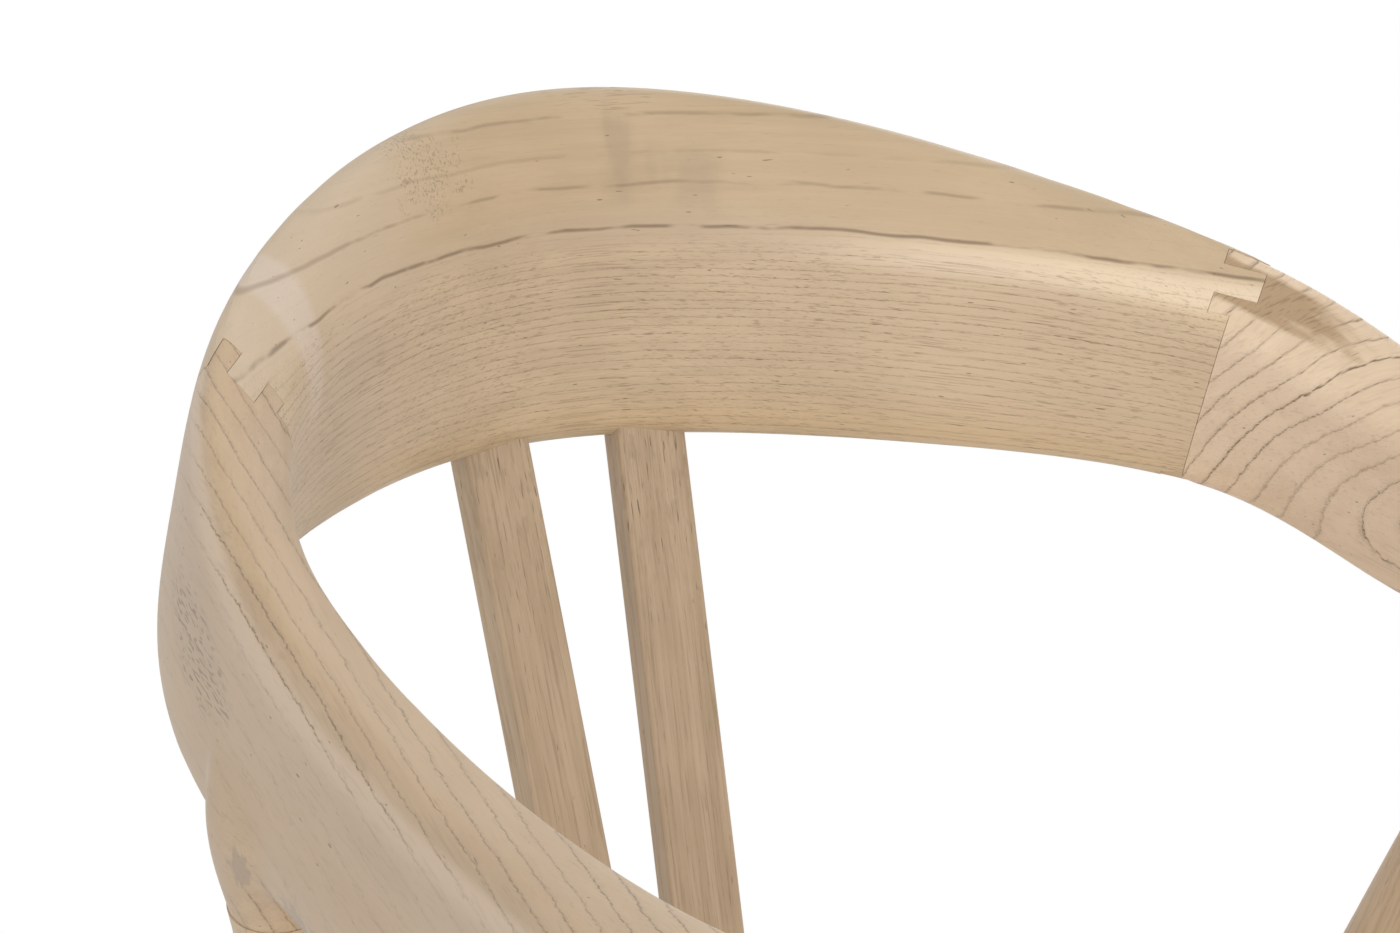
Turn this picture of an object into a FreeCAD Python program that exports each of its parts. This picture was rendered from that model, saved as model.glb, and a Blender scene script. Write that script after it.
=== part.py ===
# Horseshoe back armchair in solid wood, in millimetres. X runs across the chair, the chair
# faces -Y and Z is up. The origin lies on the floor, under the middle of the chair.
import FreeCAD, Part
import math
import os
import Sketcher

os.makedirs("parts", exist_ok=True)
Vector = FreeCAD.Vector
Rotation = FreeCAD.Rotation
Placement = FreeCAD.Placement
doc = FreeCAD.newDocument("HorseshoeBackArmchair")

# Driving dimensions
SIZES = (
    # rail: crest and arms in one sweep
    ("crest_middle_height", 735),
    ("crest_back_reach", 243),
    ("rail_half_span", 263),
    ("rail_length", 494),
    ("rail_drop", 102),
    ("crest_thickness", 29),
    ("crest_roll_back", 2),
    ("crest_taper", 11),
    ("rail_bevel", 24),
    ("arm_width", 60),
    ("crest_depth", 130),
    ("arm_depth", 53),
    ("arm_tip_rounding", 26),
    # finger joints between crest and arms
    ("finger_length", 16),
    ("finger_lane", 7.5),
    # back slats
    ("slat_foot_spread", 44.6),
    ("slat_foot_back", 170),
    ("slat_head_forward", 2.5),
    ("slat_width", 28.5),
    ("slat_thickness", 12.5),
    ("slat_edge_radius", 2),
    ("slat_tenon_width", 20),
    ("slat_tenon_thickness", 6),
    ("slat_tenon_length", 18),
    # legs
    ("rear_leg_half_spread", 204),
    ("rear_leg_back", 80),
    ("rear_foot_half_spread", 216),
    ("rear_foot_back", 232),
    ("rear_leg_radius", 19.5),
    ("rear_foot_radius", 14),
    ("post_radius", 18.3),
    ("post_outset", 5),
    ("post_drop", 42),
    ("haunch_height", 42),
    ("haunch_length", 76),
    ("haunch_width", 46),
    ("front_leg_half_spread", 222),
    ("front_leg_forward", 228),
    ("front_leg_radius", 20),
    ("front_foot_radius", 14),
    ("leg_dowel_radius", 6),
    ("leg_dowel_length", 56),
    # seat
    ("seat_height", 432),
    ("panel_thickness", 20),
    ("panel_overhang", 14),
    ("panel_corner_radius", 32),
    ("panel_edge_radius", 5),
    ("panel_leg_clearance", 0.3),
    ("panel_dish_depth", 6),
    ("panel_dish_length", 290),
    ("panel_dish_width", 350),
    ("panel_dish_forward", 60),
    ("seat_rail_height", 52),
    ("seat_rail_thickness", 22),
    ("seat_rail_edge_radius", 2),
    ("rear_rail_bow", 84),
    ("rail_tenon_height", 30),
    ("rail_tenon_thickness", 9),
    ("rail_tenon_length", 13),
    ("batten_spacing", 190),
    ("batten_width", 32),
    ("batten_height", 16),
    ("corner_block_width", 22),
    ("corner_block_height", 32),
    ("corner_block_reach", 80),
    ("corner_block_drop", 3),
    # stretchers
    ("stretcher_radius", 10),
    ("stretcher_tenon_radius", 6.5),
    ("stretcher_tenon_length", 11),
    ("side_stretcher_height", 165),
    ("front_stretcher_height", 225),
    ("rear_stretcher_height", 205),
    # fasteners and feet
    ("screw_radius", 2),
    ("screw_head_radius", 4),
    ("screw_head_height", 2.5),
    ("block_screw_length", 46),
    ("batten_screw_length", 27),
    ("glide_radius", 10),
    ("glide_height", 4),
    ("glide_pin_radius", 1.5),
    ("glide_pin_length", 14),
)

sizes_sheet = doc.addObject("Spreadsheet::Sheet", "Sizes")
for row, (alias, value) in enumerate(SIZES, start=1):
    sizes_sheet.set(f"A{row}", alias)
    sizes_sheet.set(f"B{row}", str(value))
    sizes_sheet.setAlias(f"B{row}", alias)
doc.recompute()
size = {alias: float(sizes_sheet.get(alias)) for alias, value in SIZES}

UP = Vector(0, 0, 1)
SIDES = (("left", -1), ("right", 1))
pieces = []

# Half of the rail, from the middle of the crest to the front. Each station gives its place
# along the rail, then its shares of the half span, the length and the drop, and of the way from
# crest thickness to arm width and from arm depth to crest depth.
STATION_SHARES = (
    (0.00, 0.000, 0.000, 0.000, 0.00, 1.000),
    (0.18, 0.479, 0.110, 0.142, 0.00, 0.750),
    (0.36, 0.781, 0.281, 0.375, 0.16, 0.490),
    (0.54, 0.893, 0.447, 0.754, 0.40, 0.308),
    (0.72, 0.948, 0.680, 0.974, 0.64, 0.140),
    (1.00, 1.000, 1.000, 1.000, 0.97, 0.000),
)
# At the same stations, the shares of the top's roll back, of how much thinner it gets and of
# how far its inner edge is bevelled down, then its lean towards the sitter in degrees.
STATION_TOPS = (
    (0.6, 1.00, 0.08, 7.9),
    (1.0, 0.82, 0.08, 6.2),
    (0.5, 0.36, 1.00, 10.4),
    (0.0, 0.00, 0.50, 8.2),
    (0.0, 0.00, 0.20, 6.4),
    (0.0, 0.00, 0.00, -2.2),
)
# Where the crest meets an arm, and how far the comb there turns outwards, in degrees
JOINT_SHARE = 0.336
JOINT_TURN = 8.0
TIP_SHARE = 0.93
ROLL_START_SHARE = 0.15
SECTION_POWER = 3.2
SECTION_POINTS = 16
RAIL_SECTIONS = 25
# Along the rounding of an arm's tip, the place and the part of the section that is left.
TIP_ROUNDING_SHARES = ((0.35, 0.97), (0.65, 0.86), (0.88, 0.62), (1.00, 0.36))
ROLL_POWER = 1.5


def smooth_curve(rows):
    curve = Part.BSplineCurve()
    curve.interpolate(Points=[point for place, point in rows], Parameters=[place for place, point in rows])
    return curve


def both_sides(rows, flip):
    """Rows from the left front round the back to the right front."""
    return [(-place, flip(point)) for place, point in reversed(rows[1:])] + rows


def across_middle(point):
    return Vector(-point.x, point.y, point.z)


def unchanged(values):
    return Vector(values)


def rail_curves():
    """Along the rail: its centre, its width, depth and lean, and its top's roll, taper and bevel."""
    centres = []
    breadths = []
    tops = []
    for shares, top_shares in zip(STATION_SHARES, STATION_TOPS):
        place, across, forward, drop, swell, deepen = shares
        roll, taper, bevel, lean = top_shares
        centres.append((place, Vector(
            across * size["rail_half_span"],
            size["crest_back_reach"] - forward * size["rail_length"],
            size["crest_middle_height"] - drop * size["rail_drop"])))
        breadths.append((place, Vector(
            size["crest_thickness"] + swell * (size["arm_width"] - size["crest_thickness"]),
            size["arm_depth"] + deepen * (size["crest_depth"] - size["arm_depth"]),
            lean)))
        tops.append((place, Vector(
            roll * size["crest_roll_back"], taper * size["crest_taper"], bevel * size["rail_bevel"])))
    return (smooth_curve(both_sides(centres, across_middle)),
            smooth_curve(both_sides(breadths, unchanged)),
            smooth_curve(both_sides(tops, unchanged)))


rail_line, rail_breadth, rail_top = rail_curves()


def direction_on(curve, place):
    return curve.getD1(place)[1].normalize()


def power_of(value, power):
    return math.copysign(abs(value) ** power, value)


def closed_wire(points):
    curve = Part.BSplineCurve()
    curve.interpolate(Points=points, PeriodicFlag=True)
    return Part.Wire([curve.toShape()])


def rail_frame(place):
    """The rail's centre at a place, and its section's outward and upward ways, turned by the lean."""
    along = direction_on(rail_line, place)
    outward = UP.cross(along).normalize()
    turn = Rotation(along, rail_breadth.value(place).z)
    return rail_line.value(place), turn.multVec(outward), turn.multVec(along.cross(outward))


def rail_section(place, part_left=1.0):
    """A rounded rectangle across the rail, its upper part rolled back, thinner and bevelled inside."""
    centre, outward, upward = rail_frame(place)
    width, depth, _ = rail_breadth.value(place)
    roll_back, taper, bevel = rail_top.value(place)
    points = []
    for index in range(SECTION_POINTS):
        angle = 2 * math.pi * (index + 0.5) / SECTION_POINTS
        out_share = power_of(math.cos(angle), 2 / SECTION_POWER)
        up_share = power_of(math.sin(angle), 2 / SECTION_POWER)
        rolled = max(0.0, (up_share - ROLL_START_SHARE) / (1 - ROLL_START_SHARE)) ** ROLL_POWER
        inside = (1 - out_share) / 2
        out = out_share * width / 2 + rolled * (roll_back + taper * inside)
        rise = up_share * depth / 2 - bevel * rolled * inside
        points.append(centre + outward * (part_left * out) + upward * (part_left * rise))
    return closed_wire(points)


def rail_blank():
    """The whole horseshoe as one solid, before it is divided."""
    sections = []
    for index in range(RAIL_SECTIONS):
        place = TIP_SHARE * (2 * index / (RAIL_SECTIONS - 1) - 1)
        sections.append(rail_section(place))
    rounding = size["arm_tip_rounding"] * 2 / rail_line.length()
    for along_share, left_share in TIP_ROUNDING_SHARES:
        place = TIP_SHARE + along_share * rounding
        sections.append(rail_section(place, left_share))
        sections.insert(0, rail_section(-place, left_share))
    return Part.makeLoft(sections, True)


# Across the thickness, the inner lip and three fingers, in lanes from the centre line.
FINGER_EDGE_SHARES = (-1.33, -0.56, 0.7, 1.53)


def arm_region(side):
    """All the space on an arm's side of its finger joint, as a prism that leans with the rail."""
    corner, square_out, upward = rail_frame(side * JOINT_SHARE)
    square_ahead = direction_on(rail_line, side * JOINT_SHARE) * side
    turn = math.radians(JOINT_TURN)
    forward = square_ahead * math.cos(turn) + square_out * math.sin(turn)
    outward = square_out * math.cos(turn) - square_ahead * math.sin(turn)
    reach = size["rail_half_span"]
    edges = [share * size["finger_lane"] for share in FINGER_EDGE_SHARES]
    half = size["finger_length"] / 2
    outline = [(0, -reach), (0, edges[0]), (-half, edges[0]), (-half, edges[1]), (half, edges[1]),
               (half, edges[2]), (-half, edges[2]), (-half, edges[3]), (half, edges[3]),
               (half, reach), (2 * reach, reach), (2 * reach, -reach)]
    low = corner - upward * reach
    points = [low + forward * ahead + outward * out for ahead, out in outline]
    face = Part.Face(Part.makePolygon(points + points[:1]))
    return face.extrude(upward * (2 * reach))


def raw_feature(name, shape):
    item = doc.addObject("Part::Feature", name)
    item.Shape = shape
    return item


def post_direction(side):
    """Upwards along the top of a rear leg, leaning outwards and forwards."""
    return Vector(side * POST_LEAN_SHARES[0], -POST_LEAN_SHARES[1], 1).normalize()


def post_top(side):
    """Top of a rear leg's centre line, a little below and outside the arm's."""
    above = rail_line.value(side * POST_PLACE)
    return above + Vector(side * size["post_outset"], 0, -size["post_drop"])


# Rise of the rear leg's top, outwards and forwards, as shares of its height.
POST_LEAN_SHARES = (0.364, 0.234)
# Up the haunch: share of its height, then shares of the way to its full width and length.
HAUNCH_SHARES = ((0.00, 0.00, 0.00), (0.22, 0.10, 0.10), (0.48, 0.40, 0.34),
                 (0.74, 0.80, 0.68), (1.00, 1.00, 1.00))
# Where along the rail the rear leg's top lies, and where the haunch's middle ends.
POST_PLACE = 0.595
HAUNCH_PLACE = 0.61


def haunch(side):
    """The arm's swelling down to the leg: from the leg's round to a long oval in the arm."""
    rise = post_direction(side)
    arm_middle = rail_line.value(side * HAUNCH_PLACE)
    arm_run = direction_on(rail_line, side * HAUNCH_PLACE)
    along = (arm_run - rise * arm_run.dot(rise)).normalize()
    across = rise.cross(along)
    sections = []
    for height_share, width_share, length_share in HAUNCH_SHARES:
        straight_up = post_top(side) + rise * (height_share * size["haunch_height"])
        centre = straight_up + (arm_middle - straight_up) * height_share ** 3
        half_length = size["post_radius"] + length_share * (size["haunch_length"] / 2 - size["post_radius"])
        half_width = size["post_radius"] + width_share * (size["haunch_width"] / 2 - size["post_radius"])
        points = []
        for index in range(SECTION_POINTS):
            angle = 2 * math.pi * index / SECTION_POINTS
            points.append(centre + along * (half_length * math.cos(angle))
                          + across * (half_width * math.sin(angle)))
        sections.append(closed_wire(points))
    return Part.makeLoft(sections, True)


# Rail pieces before their mortises are cut
horseshoe = rail_blank()
regions = {side: arm_region(side) for name, side in SIDES}
crest_blank = raw_feature("CrestBlank", horseshoe.cut([regions[-1], regions[1]]))
right_arm = horseshoe.common(regions[1]).fuse(haunch(1)).removeSplitter()
arm_blanks = {1: raw_feature("ArmBlankRight", right_arm),
              -1: raw_feature("ArmBlankLeft", right_arm.mirror(Vector(0, 0, 0), Vector(1, 0, 0)))}


# Legs before their mortises are cut
LEG_SECTIONS = 15


def rear_leg_curve(side):
    """Centre line of a rear leg: raked up to the seat, then swept forwards and outwards."""
    foot = Vector(side * size["rear_foot_half_spread"], size["rear_foot_back"], size["glide_height"])
    knee = Vector(side * size["rear_leg_half_spread"], size["rear_leg_back"], seat_rail_middle)
    curve = Part.BSplineCurve()
    start = knee - foot
    curve.interpolate(Points=[foot, knee, post_top(side)], InitialTangent=start,
                      FinalTangent=post_direction(side) * start.Length)
    return curve


panel_underside = size["seat_height"] - size["panel_thickness"]
seat_rail_bottom = panel_underside - size["seat_rail_height"]
seat_rail_middle = (panel_underside + seat_rail_bottom) / 2
rear_curves = {side: rear_leg_curve(side) for name, side in SIDES}


def rear_leg_shape(side, extra=0.0):
    curve = rear_curves[side]
    first, last = curve.FirstParameter, curve.LastParameter
    knee_height = seat_rail_middle
    sections = []
    for index in range(LEG_SECTIONS):
        place = first + (last - first) * index / (LEG_SECTIONS - 1)
        centre = curve.value(place)
        if centre.z < knee_height:
            rise_share = math.sin(math.pi / 2 * (centre.z / knee_height))
            radius = size["rear_foot_radius"] + rise_share * (size["rear_leg_radius"] - size["rear_foot_radius"])
        else:
            rise_share = (centre.z - knee_height) / (post_top(side).z - knee_height)
            radius = size["rear_leg_radius"] + rise_share * (size["post_radius"] - size["rear_leg_radius"])
        facing = UP if index == 0 else direction_on(curve, place)
        ring = Part.Circle(centre, facing, radius + extra)
        sections.append(Part.Wire([ring.toShape()]))
    return Part.makeLoft(sections, True)


def rear_leg_at(side, height):
    """Centre of a rear leg at a height."""
    curve = rear_curves[side]
    low, high = curve.FirstParameter, curve.LastParameter
    for _ in range(40):
        middle = (low + high) / 2
        if curve.value(middle).z < height:
            low = middle
        else:
            high = middle
    return curve.value(low)


leg_blanks = {}
for name, side in SIDES:
    leg_blanks["rear", side] = raw_feature(f"RearLegBlank{name.title()}", rear_leg_shape(side))
    front = doc.addObject("Part::Cone", f"FrontLegBlank{name.title()}")
    front.setExpression("Radius1", "Sizes.front_foot_radius")
    front.setExpression("Radius2", "Sizes.front_leg_radius")
    front.setExpression("Height", "Sizes.seat_height - Sizes.panel_thickness - Sizes.glide_height")
    front.setExpression("Placement.Base.x", f"{side} * Sizes.front_leg_half_spread")
    front.setExpression("Placement.Base.y", "-Sizes.front_leg_forward")
    front.setExpression("Placement.Base.z", "Sizes.glide_height")
    leg_blanks["front", side] = front


def rod(name, start, end, radius_alias):
    """A round rod from one point to another."""
    item = doc.addObject("Part::Cylinder", name)
    item.setExpression("Radius", f"Sizes.{radius_alias}")
    item.Height = (end - start).Length
    item.Placement = Placement(start, Rotation(UP, end - start))
    return item


def bar(name, start, end, width_alias, height_alias, edge_alias=None):
    """A level bar of rectangular section with eased edges, from one point to another."""
    body = doc.addObject("PartDesign::Body", name)
    sketch = body.newObject("Sketcher::SketchObject", name + "Section")
    plane = next(item for item in body.Origin.OriginFeatures if item.Role == "YZ_Plane")
    sketch.AttachmentSupport = (plane, "")
    sketch.MapMode = "FlatFace"
    half_width = size[width_alias] / 2
    half_height = size[height_alias] / 2
    corners = [Vector(-half_width, -half_height, 0), Vector(half_width, -half_height, 0),
               Vector(half_width, half_height, 0), Vector(-half_width, half_height, 0)]
    for index in range(4):
        sketch.addGeometry(Part.LineSegment(corners[index], corners[(index + 1) % 4]))
    for index in range(4):
        sketch.addConstraint(Sketcher.Constraint("Coincident", index, 2, (index + 1) % 4, 1))
    for index in (0, 2):
        sketch.addConstraint(Sketcher.Constraint("Horizontal", index))
    for index in (1, 3):
        sketch.addConstraint(Sketcher.Constraint("Vertical", index))
    sketch.addConstraint(Sketcher.Constraint("Symmetric", 0, 1, 2, 1, -1, 1))
    across = sketch.addConstraint(Sketcher.Constraint("DistanceX", 0, 1, 0, 2, 2 * half_width))
    upright = sketch.addConstraint(Sketcher.Constraint("DistanceY", 1, 1, 1, 2, 2 * half_height))
    sketch.setExpression(f"Constraints[{across}]", f"Sizes.{width_alias}")
    sketch.setExpression(f"Constraints[{upright}]", f"Sizes.{height_alias}")
    pad = body.newObject("PartDesign::Pad", name + "Pad")
    pad.Profile = sketch
    pad.Length = (end - start).Length
    doc.recompute()
    if edge_alias:
        long_edges = [f"Edge{number}" for number, edge in enumerate(pad.Shape.Edges, start=1)
                      if abs(edge.Length - pad.Length.Value) < 1e-6]
        eased = body.newObject("PartDesign::Fillet", name + "Easing")
        eased.Base = (pad, long_edges)
        eased.setExpression("Radius", f"Sizes.{edge_alias}")
    run = (end - start).normalize()
    side_way = UP.cross(run).normalize()
    body.Placement = Placement(start, Rotation(run, side_way, run.cross(side_way), "XYZ"))
    doc.recompute()
    return body


def cut(name, base, tools):
    tool = tools[0]
    if len(tools) > 1:
        tool = doc.addObject("Part::MultiFuse", name + "Tools")
        tool.Shapes = tools
    item = doc.addObject("Part::Cut", name)
    item.Base = base
    item.Tool = tool
    return item


def fuse(name, shapes):
    item = doc.addObject("Part::MultiFuse", name)
    item.Shapes = shapes
    return item


def keep(item, label):
    """Marks an object as a finished piece under its own name."""
    item.Label = label
    pieces.append(item)


# What is let into each leg, arm, crest and panel
lets = {key: [] for key in leg_blanks}
arm_lets = {-1: [], 1: []}
crest_lets = []
panel_lets = []
rear_rail_lets = []

# Side, front and back edges of the seat frame, from leg centre to leg centre
frame_corners = {}
for name, side in SIDES:
    frame_corners["front", side] = Vector(
        side * size["front_leg_half_spread"], -size["front_leg_forward"], seat_rail_middle)
    frame_corners["rear", side] = Vector(
        side * size["rear_leg_half_spread"], size["rear_leg_back"], seat_rail_middle)


def surface_distance(key, start, run):
    """How far a leg's surface lies from its centre along a level run."""
    line = Part.makeLine(start, start + run * 4 * size["front_leg_radius"])
    return line.common(leg_blanks[key].Shape).Length


def joined_rail(name, start_key, end_key):
    """A straight seat rail, coped to two legs and tenoned into them."""
    start = frame_corners[start_key]
    end = frame_corners[end_key]
    run = (end - start).normalize()
    blank = bar(name + "Bar", start, end, "seat_rail_thickness", "seat_rail_height", "seat_rail_edge_radius")
    shoulders = cut(name + "Shoulders", blank, [leg_blanks[start_key], leg_blanks[end_key]])
    tenons = []
    for key, corner, way in ((start_key, start, run), (end_key, end, run * -1)):
        face = corner + way * surface_distance(key, corner, way)
        inner = face - way * size["rail_tenon_length"]
        outer = face + way * size["rail_tenon_length"]
        tenon = bar(name + key[0].title() + f"Tenon{len(tenons)}", inner, outer,
                    "rail_tenon_thickness", "rail_tenon_height")
        lets[key].append(tenon)
        tenons.append(tenon)
    return fuse(name, [shoulders] + tenons)


doc.recompute()
seat_rails = {
    "front": joined_rail("SeatRailFront", ("front", -1), ("front", 1)),
    "left": joined_rail("SeatRailLeft", ("rear", -1), ("front", -1)),
    "right": joined_rail("SeatRailRight", ("front", 1), ("rear", 1)),
}
for name, rail in seat_rails.items():
    keep(rail, f"seat_rail_{name}")


# The rear rail's bow: its radius, the middle of its circle and half the angle it spans
bow_radius = (size["rear_leg_half_spread"] ** 2 + size["rear_rail_bow"] ** 2) / (2 * size["rear_rail_bow"])
bow_middle = size["rear_leg_back"] + size["rear_rail_bow"] - bow_radius
bow_half_angle = math.asin(size["rear_leg_half_spread"] / bow_radius)


def bowed_edge(offset):
    """An arc between the rear legs' centres, moved outwards by an offset."""
    radius = bow_radius + offset
    return [Vector(radius * math.sin(angle), bow_middle + radius * math.cos(angle), 0)
            for angle in (-bow_half_angle, 0, bow_half_angle)]


def rear_rail_blank():
    body = doc.addObject("PartDesign::Body", "RearRailBar")
    sketch = body.newObject("Sketcher::SketchObject", "RearRailPlan")
    plane = next(item for item in body.Origin.OriginFeatures if item.Role == "XY_Plane")
    sketch.AttachmentSupport = (plane, "")
    sketch.MapMode = "FlatFace"
    inner = bowed_edge(-size["seat_rail_thickness"] / 2)
    outer = bowed_edge(size["seat_rail_thickness"] / 2)
    sketch.addGeometry(Part.Arc(*inner))
    sketch.addGeometry(Part.LineSegment(inner[2], outer[2]))
    sketch.addGeometry(Part.Arc(*outer))
    sketch.addGeometry(Part.LineSegment(outer[0], inner[0]))
    pad = body.newObject("PartDesign::Pad", "RearRailPad")
    pad.Profile = sketch
    pad.setExpression("Length", "Sizes.seat_rail_height")
    body.setExpression("Placement.Base.z",
                       "Sizes.seat_height - Sizes.panel_thickness - Sizes.seat_rail_height")
    doc.recompute()
    return body


rear_bar = rear_rail_blank()
rear_shoulders = cut("RearRailShoulders", rear_bar, [leg_blanks["rear", -1], leg_blanks["rear", 1]])
rear_tenons = []
for name, side in SIDES:
    end = frame_corners["rear", side]
    way = Vector(-side * math.cos(bow_half_angle), math.sin(bow_half_angle), 0)
    face = end + way * surface_distance(("rear", side), end, way)
    tenon = bar(f"RearRailTenon{name.title()}", face - way * size["rail_tenon_length"],
                face + way * size["rail_tenon_length"] / 2, "rail_tenon_thickness", "rail_tenon_height")
    lets["rear", side].append(tenon)
    rear_tenons.append(tenon)
rear_rail_whole = fuse("RearRailWhole", [rear_shoulders] + rear_tenons)

# Back slats, let into the crest above and through the panel into the rear rail below
SLAT_TURN = 5.0
SLAT_HEAD_PLACE = 0.0476
slat_pieces = []


def slat_bar(name, side, start, end, width_alias, thickness_alias, edge_alias=None):
    """A bar along a slat's line, its broad face turned a little towards the middle."""
    body = bar(name, start, end, width_alias, thickness_alias, edge_alias)
    rise = (end - start).normalize()
    turn = math.radians(SLAT_TURN)
    front = Vector(-side * math.sin(turn), -math.cos(turn), 0)
    across = front.cross(rise).normalize()
    body.Placement = Placement(start, Rotation(rise, across, rise.cross(across), "XYZ"))
    doc.recompute()
    return body


def crest_underside(place):
    """The lowest point of the rail's section at a place, in the middle of its thickness."""
    centre, outward, upward = rail_frame(place)
    return centre - upward * rail_breadth.value(place).y / 2


for name, side in SIDES:
    foot = Vector(side * size["slat_foot_spread"] / 2, size["slat_foot_back"], size["seat_height"])
    head = crest_underside(side * SLAT_HEAD_PLACE) - Vector(0, size["slat_head_forward"], 0)
    rise = (head - foot).normalize()
    half_tenon = rise * size["slat_tenon_length"] / 2
    below_panel = rise * size["panel_thickness"] + half_tenon
    blank = slat_bar(f"SlatBar{name.title()}", side, foot - half_tenon, head + half_tenon,
                     "slat_width", "slat_thickness", "slat_edge_radius")
    head_tenon = slat_bar(f"SlatHeadTenon{name.title()}", side, head - half_tenon, head + half_tenon * 2,
                          "slat_tenon_width", "slat_tenon_thickness")
    foot_tenon = slat_bar(f"SlatFootTenon{name.title()}", side, foot - below_panel, foot + half_tenon,
                          "slat_tenon_width", "slat_tenon_thickness")
    crest_lets.append(head_tenon)
    panel_lets.append(foot_tenon)
    rear_rail_lets.append(foot_tenon)
    slat_pieces.append((name, blank, head_tenon, foot_tenon))

seat_space = doc.addObject("Part::Box", "SeatSpace")
seat_space.setExpression("Length", "Sizes.slat_foot_spread * 3")
seat_space.setExpression("Width", "Sizes.slat_foot_back")
seat_space.setExpression("Height", "Sizes.panel_thickness * 2")
seat_space.setExpression("Placement.Base.x", "-Sizes.slat_foot_spread * 3 / 2")
seat_space.setExpression("Placement.Base.y", "Sizes.slat_foot_back / 2")
seat_space.setExpression("Placement.Base.z", "Sizes.seat_height - Sizes.panel_thickness * 2")
for name, blank, head_tenon, foot_tenon in slat_pieces:
    shoulders = cut(f"SlatShoulders{name.title()}", blank, [crest_blank, seat_space])
    keep(fuse(f"BackSlat{name.title()}", [shoulders, head_tenon, foot_tenon]), f"back_slat_{name}")
keep(cut("CrestRail", crest_blank, crest_lets), "crest_rail")
keep(cut("SeatRailRear", rear_rail_whole, rear_rail_lets), "seat_rail_rear")

# Dowels between the rear legs and the arms
for name, side in SIDES:
    half = post_direction(side) * (size["leg_dowel_length"] / 2)
    dowel = rod(f"LegDowel{name.title()}", post_top(side) - half, post_top(side) + half, "leg_dowel_radius")
    arm_lets[side].append(dowel)
    lets["rear", side].append(dowel)
    keep(dowel, f"arm_dowel_{name}")
    keep(cut(f"Arm{name.title()}", arm_blanks[side], arm_lets[side]), f"arm_{name}")


# Stretchers
def stretcher(name, start_key, start, end_key, end):
    run = (end - start).normalize()
    blank = rod(name + "Rod", start, end, "stretcher_radius")
    doc.recompute()
    shoulders = cut(name + "Shoulders", blank, [leg_blanks[start_key], leg_blanks[end_key]])
    tenons = []
    for key, corner, way in ((start_key, start, run), (end_key, end, run * -1)):
        face = corner + way * surface_distance(key, corner, way)
        tenon = rod(f"{name}Tenon{len(tenons)}", face - way * size["stretcher_tenon_length"],
                    face + way * size["stretcher_tenon_length"], "stretcher_tenon_radius")
        lets[key].append(tenon)
        tenons.append(tenon)
    return fuse(name, [shoulders] + tenons)


def front_leg_at(side, height):
    return Vector(side * size["front_leg_half_spread"], -size["front_leg_forward"], height)


for name, side in SIDES:
    level = size["side_stretcher_height"]
    keep(stretcher(f"Stretcher{name.title()}", ("front", side), front_leg_at(side, level),
                   ("rear", side), rear_leg_at(side, level)), f"stretcher_{name}")
level = size["front_stretcher_height"]
keep(stretcher("StretcherFront", ("front", -1), front_leg_at(-1, level),
               ("front", 1), front_leg_at(1, level)), "stretcher_front")
level = size["rear_stretcher_height"]
keep(stretcher("StretcherRear", ("rear", -1), rear_leg_at(-1, level),
               ("rear", 1), rear_leg_at(1, level)), "stretcher_rear")


# Glides, pressed up into the feet
for name, side in SIDES:
    for row, foot in (("front", front_leg_at(side, 0)),
                      ("rear", Vector(side * size["rear_foot_half_spread"], size["rear_foot_back"], 0))):
        label = f"{row.title()}{name.title()}"
        pad = rod(f"GlidePad{label}", foot, foot + UP * size["glide_height"], "glide_radius")
        pin = rod(f"GlidePin{label}", foot + UP * size["glide_height"] / 2,
                  foot + UP * (size["glide_height"] + size["glide_pin_length"]), "glide_pin_radius")
        lets[row, side].append(pin)
        keep(fuse(f"Glide{label}", [pad, pin]), f"glide_{row}_{name}")


# Seat panel
def panel_blank():
    body = doc.addObject("PartDesign::Body", "PanelBoard")
    sketch = body.newObject("Sketcher::SketchObject", "PanelPlan")
    plane = next(item for item in body.Origin.OriginFeatures if item.Role == "XY_Plane")
    sketch.AttachmentSupport = (plane, "")
    sketch.MapMode = "FlatFace"
    front_half = size["front_leg_half_spread"] + size["front_leg_radius"] + size["panel_overhang"] / 2
    front_line = -(size["front_leg_forward"] + size["front_leg_radius"] + size["panel_overhang"])
    back = bowed_edge(size["seat_rail_thickness"] / 2 + size["panel_edge_radius"])
    front_left = Vector(-front_half, front_line, 0)
    front_right = Vector(front_half, front_line, 0)
    sketch.addGeometry(Part.LineSegment(front_left, front_right))
    sketch.addGeometry(Part.LineSegment(front_right, back[2]))
    sketch.addGeometry(Part.Arc(back[2], back[1], back[0]))
    sketch.addGeometry(Part.LineSegment(back[0], front_left))
    pad = body.newObject("PartDesign::Pad", "PanelPad")
    pad.Profile = sketch
    pad.setExpression("Length", "Sizes.panel_thickness")
    doc.recompute()
    upright = [f"Edge{number}" for number, edge in enumerate(pad.Shape.Edges, start=1)
               if abs(edge.Vertexes[0].Point.z - edge.Vertexes[-1].Point.z) > size["panel_thickness"] / 2
               and edge.Vertexes[0].Point.y < 0]
    corners = body.newObject("PartDesign::Fillet", "PanelCorners")
    corners.Base = (pad, upright)
    corners.setExpression("Radius", "Sizes.panel_corner_radius")
    doc.recompute()
    top = [f"Edge{number}" for number, edge in enumerate(corners.Shape.Edges, start=1)
           if all(abs(vertex.Point.z - size["panel_thickness"]) < 1e-6 for vertex in edge.Vertexes)]
    eased = body.newObject("PartDesign::Fillet", "PanelEasing")
    eased.Base = (corners, top)
    eased.setExpression("Radius", "Sizes.panel_edge_radius")
    body.setExpression("Placement.Base.z", "Sizes.seat_height - Sizes.panel_thickness")
    doc.recompute()
    return body


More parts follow.
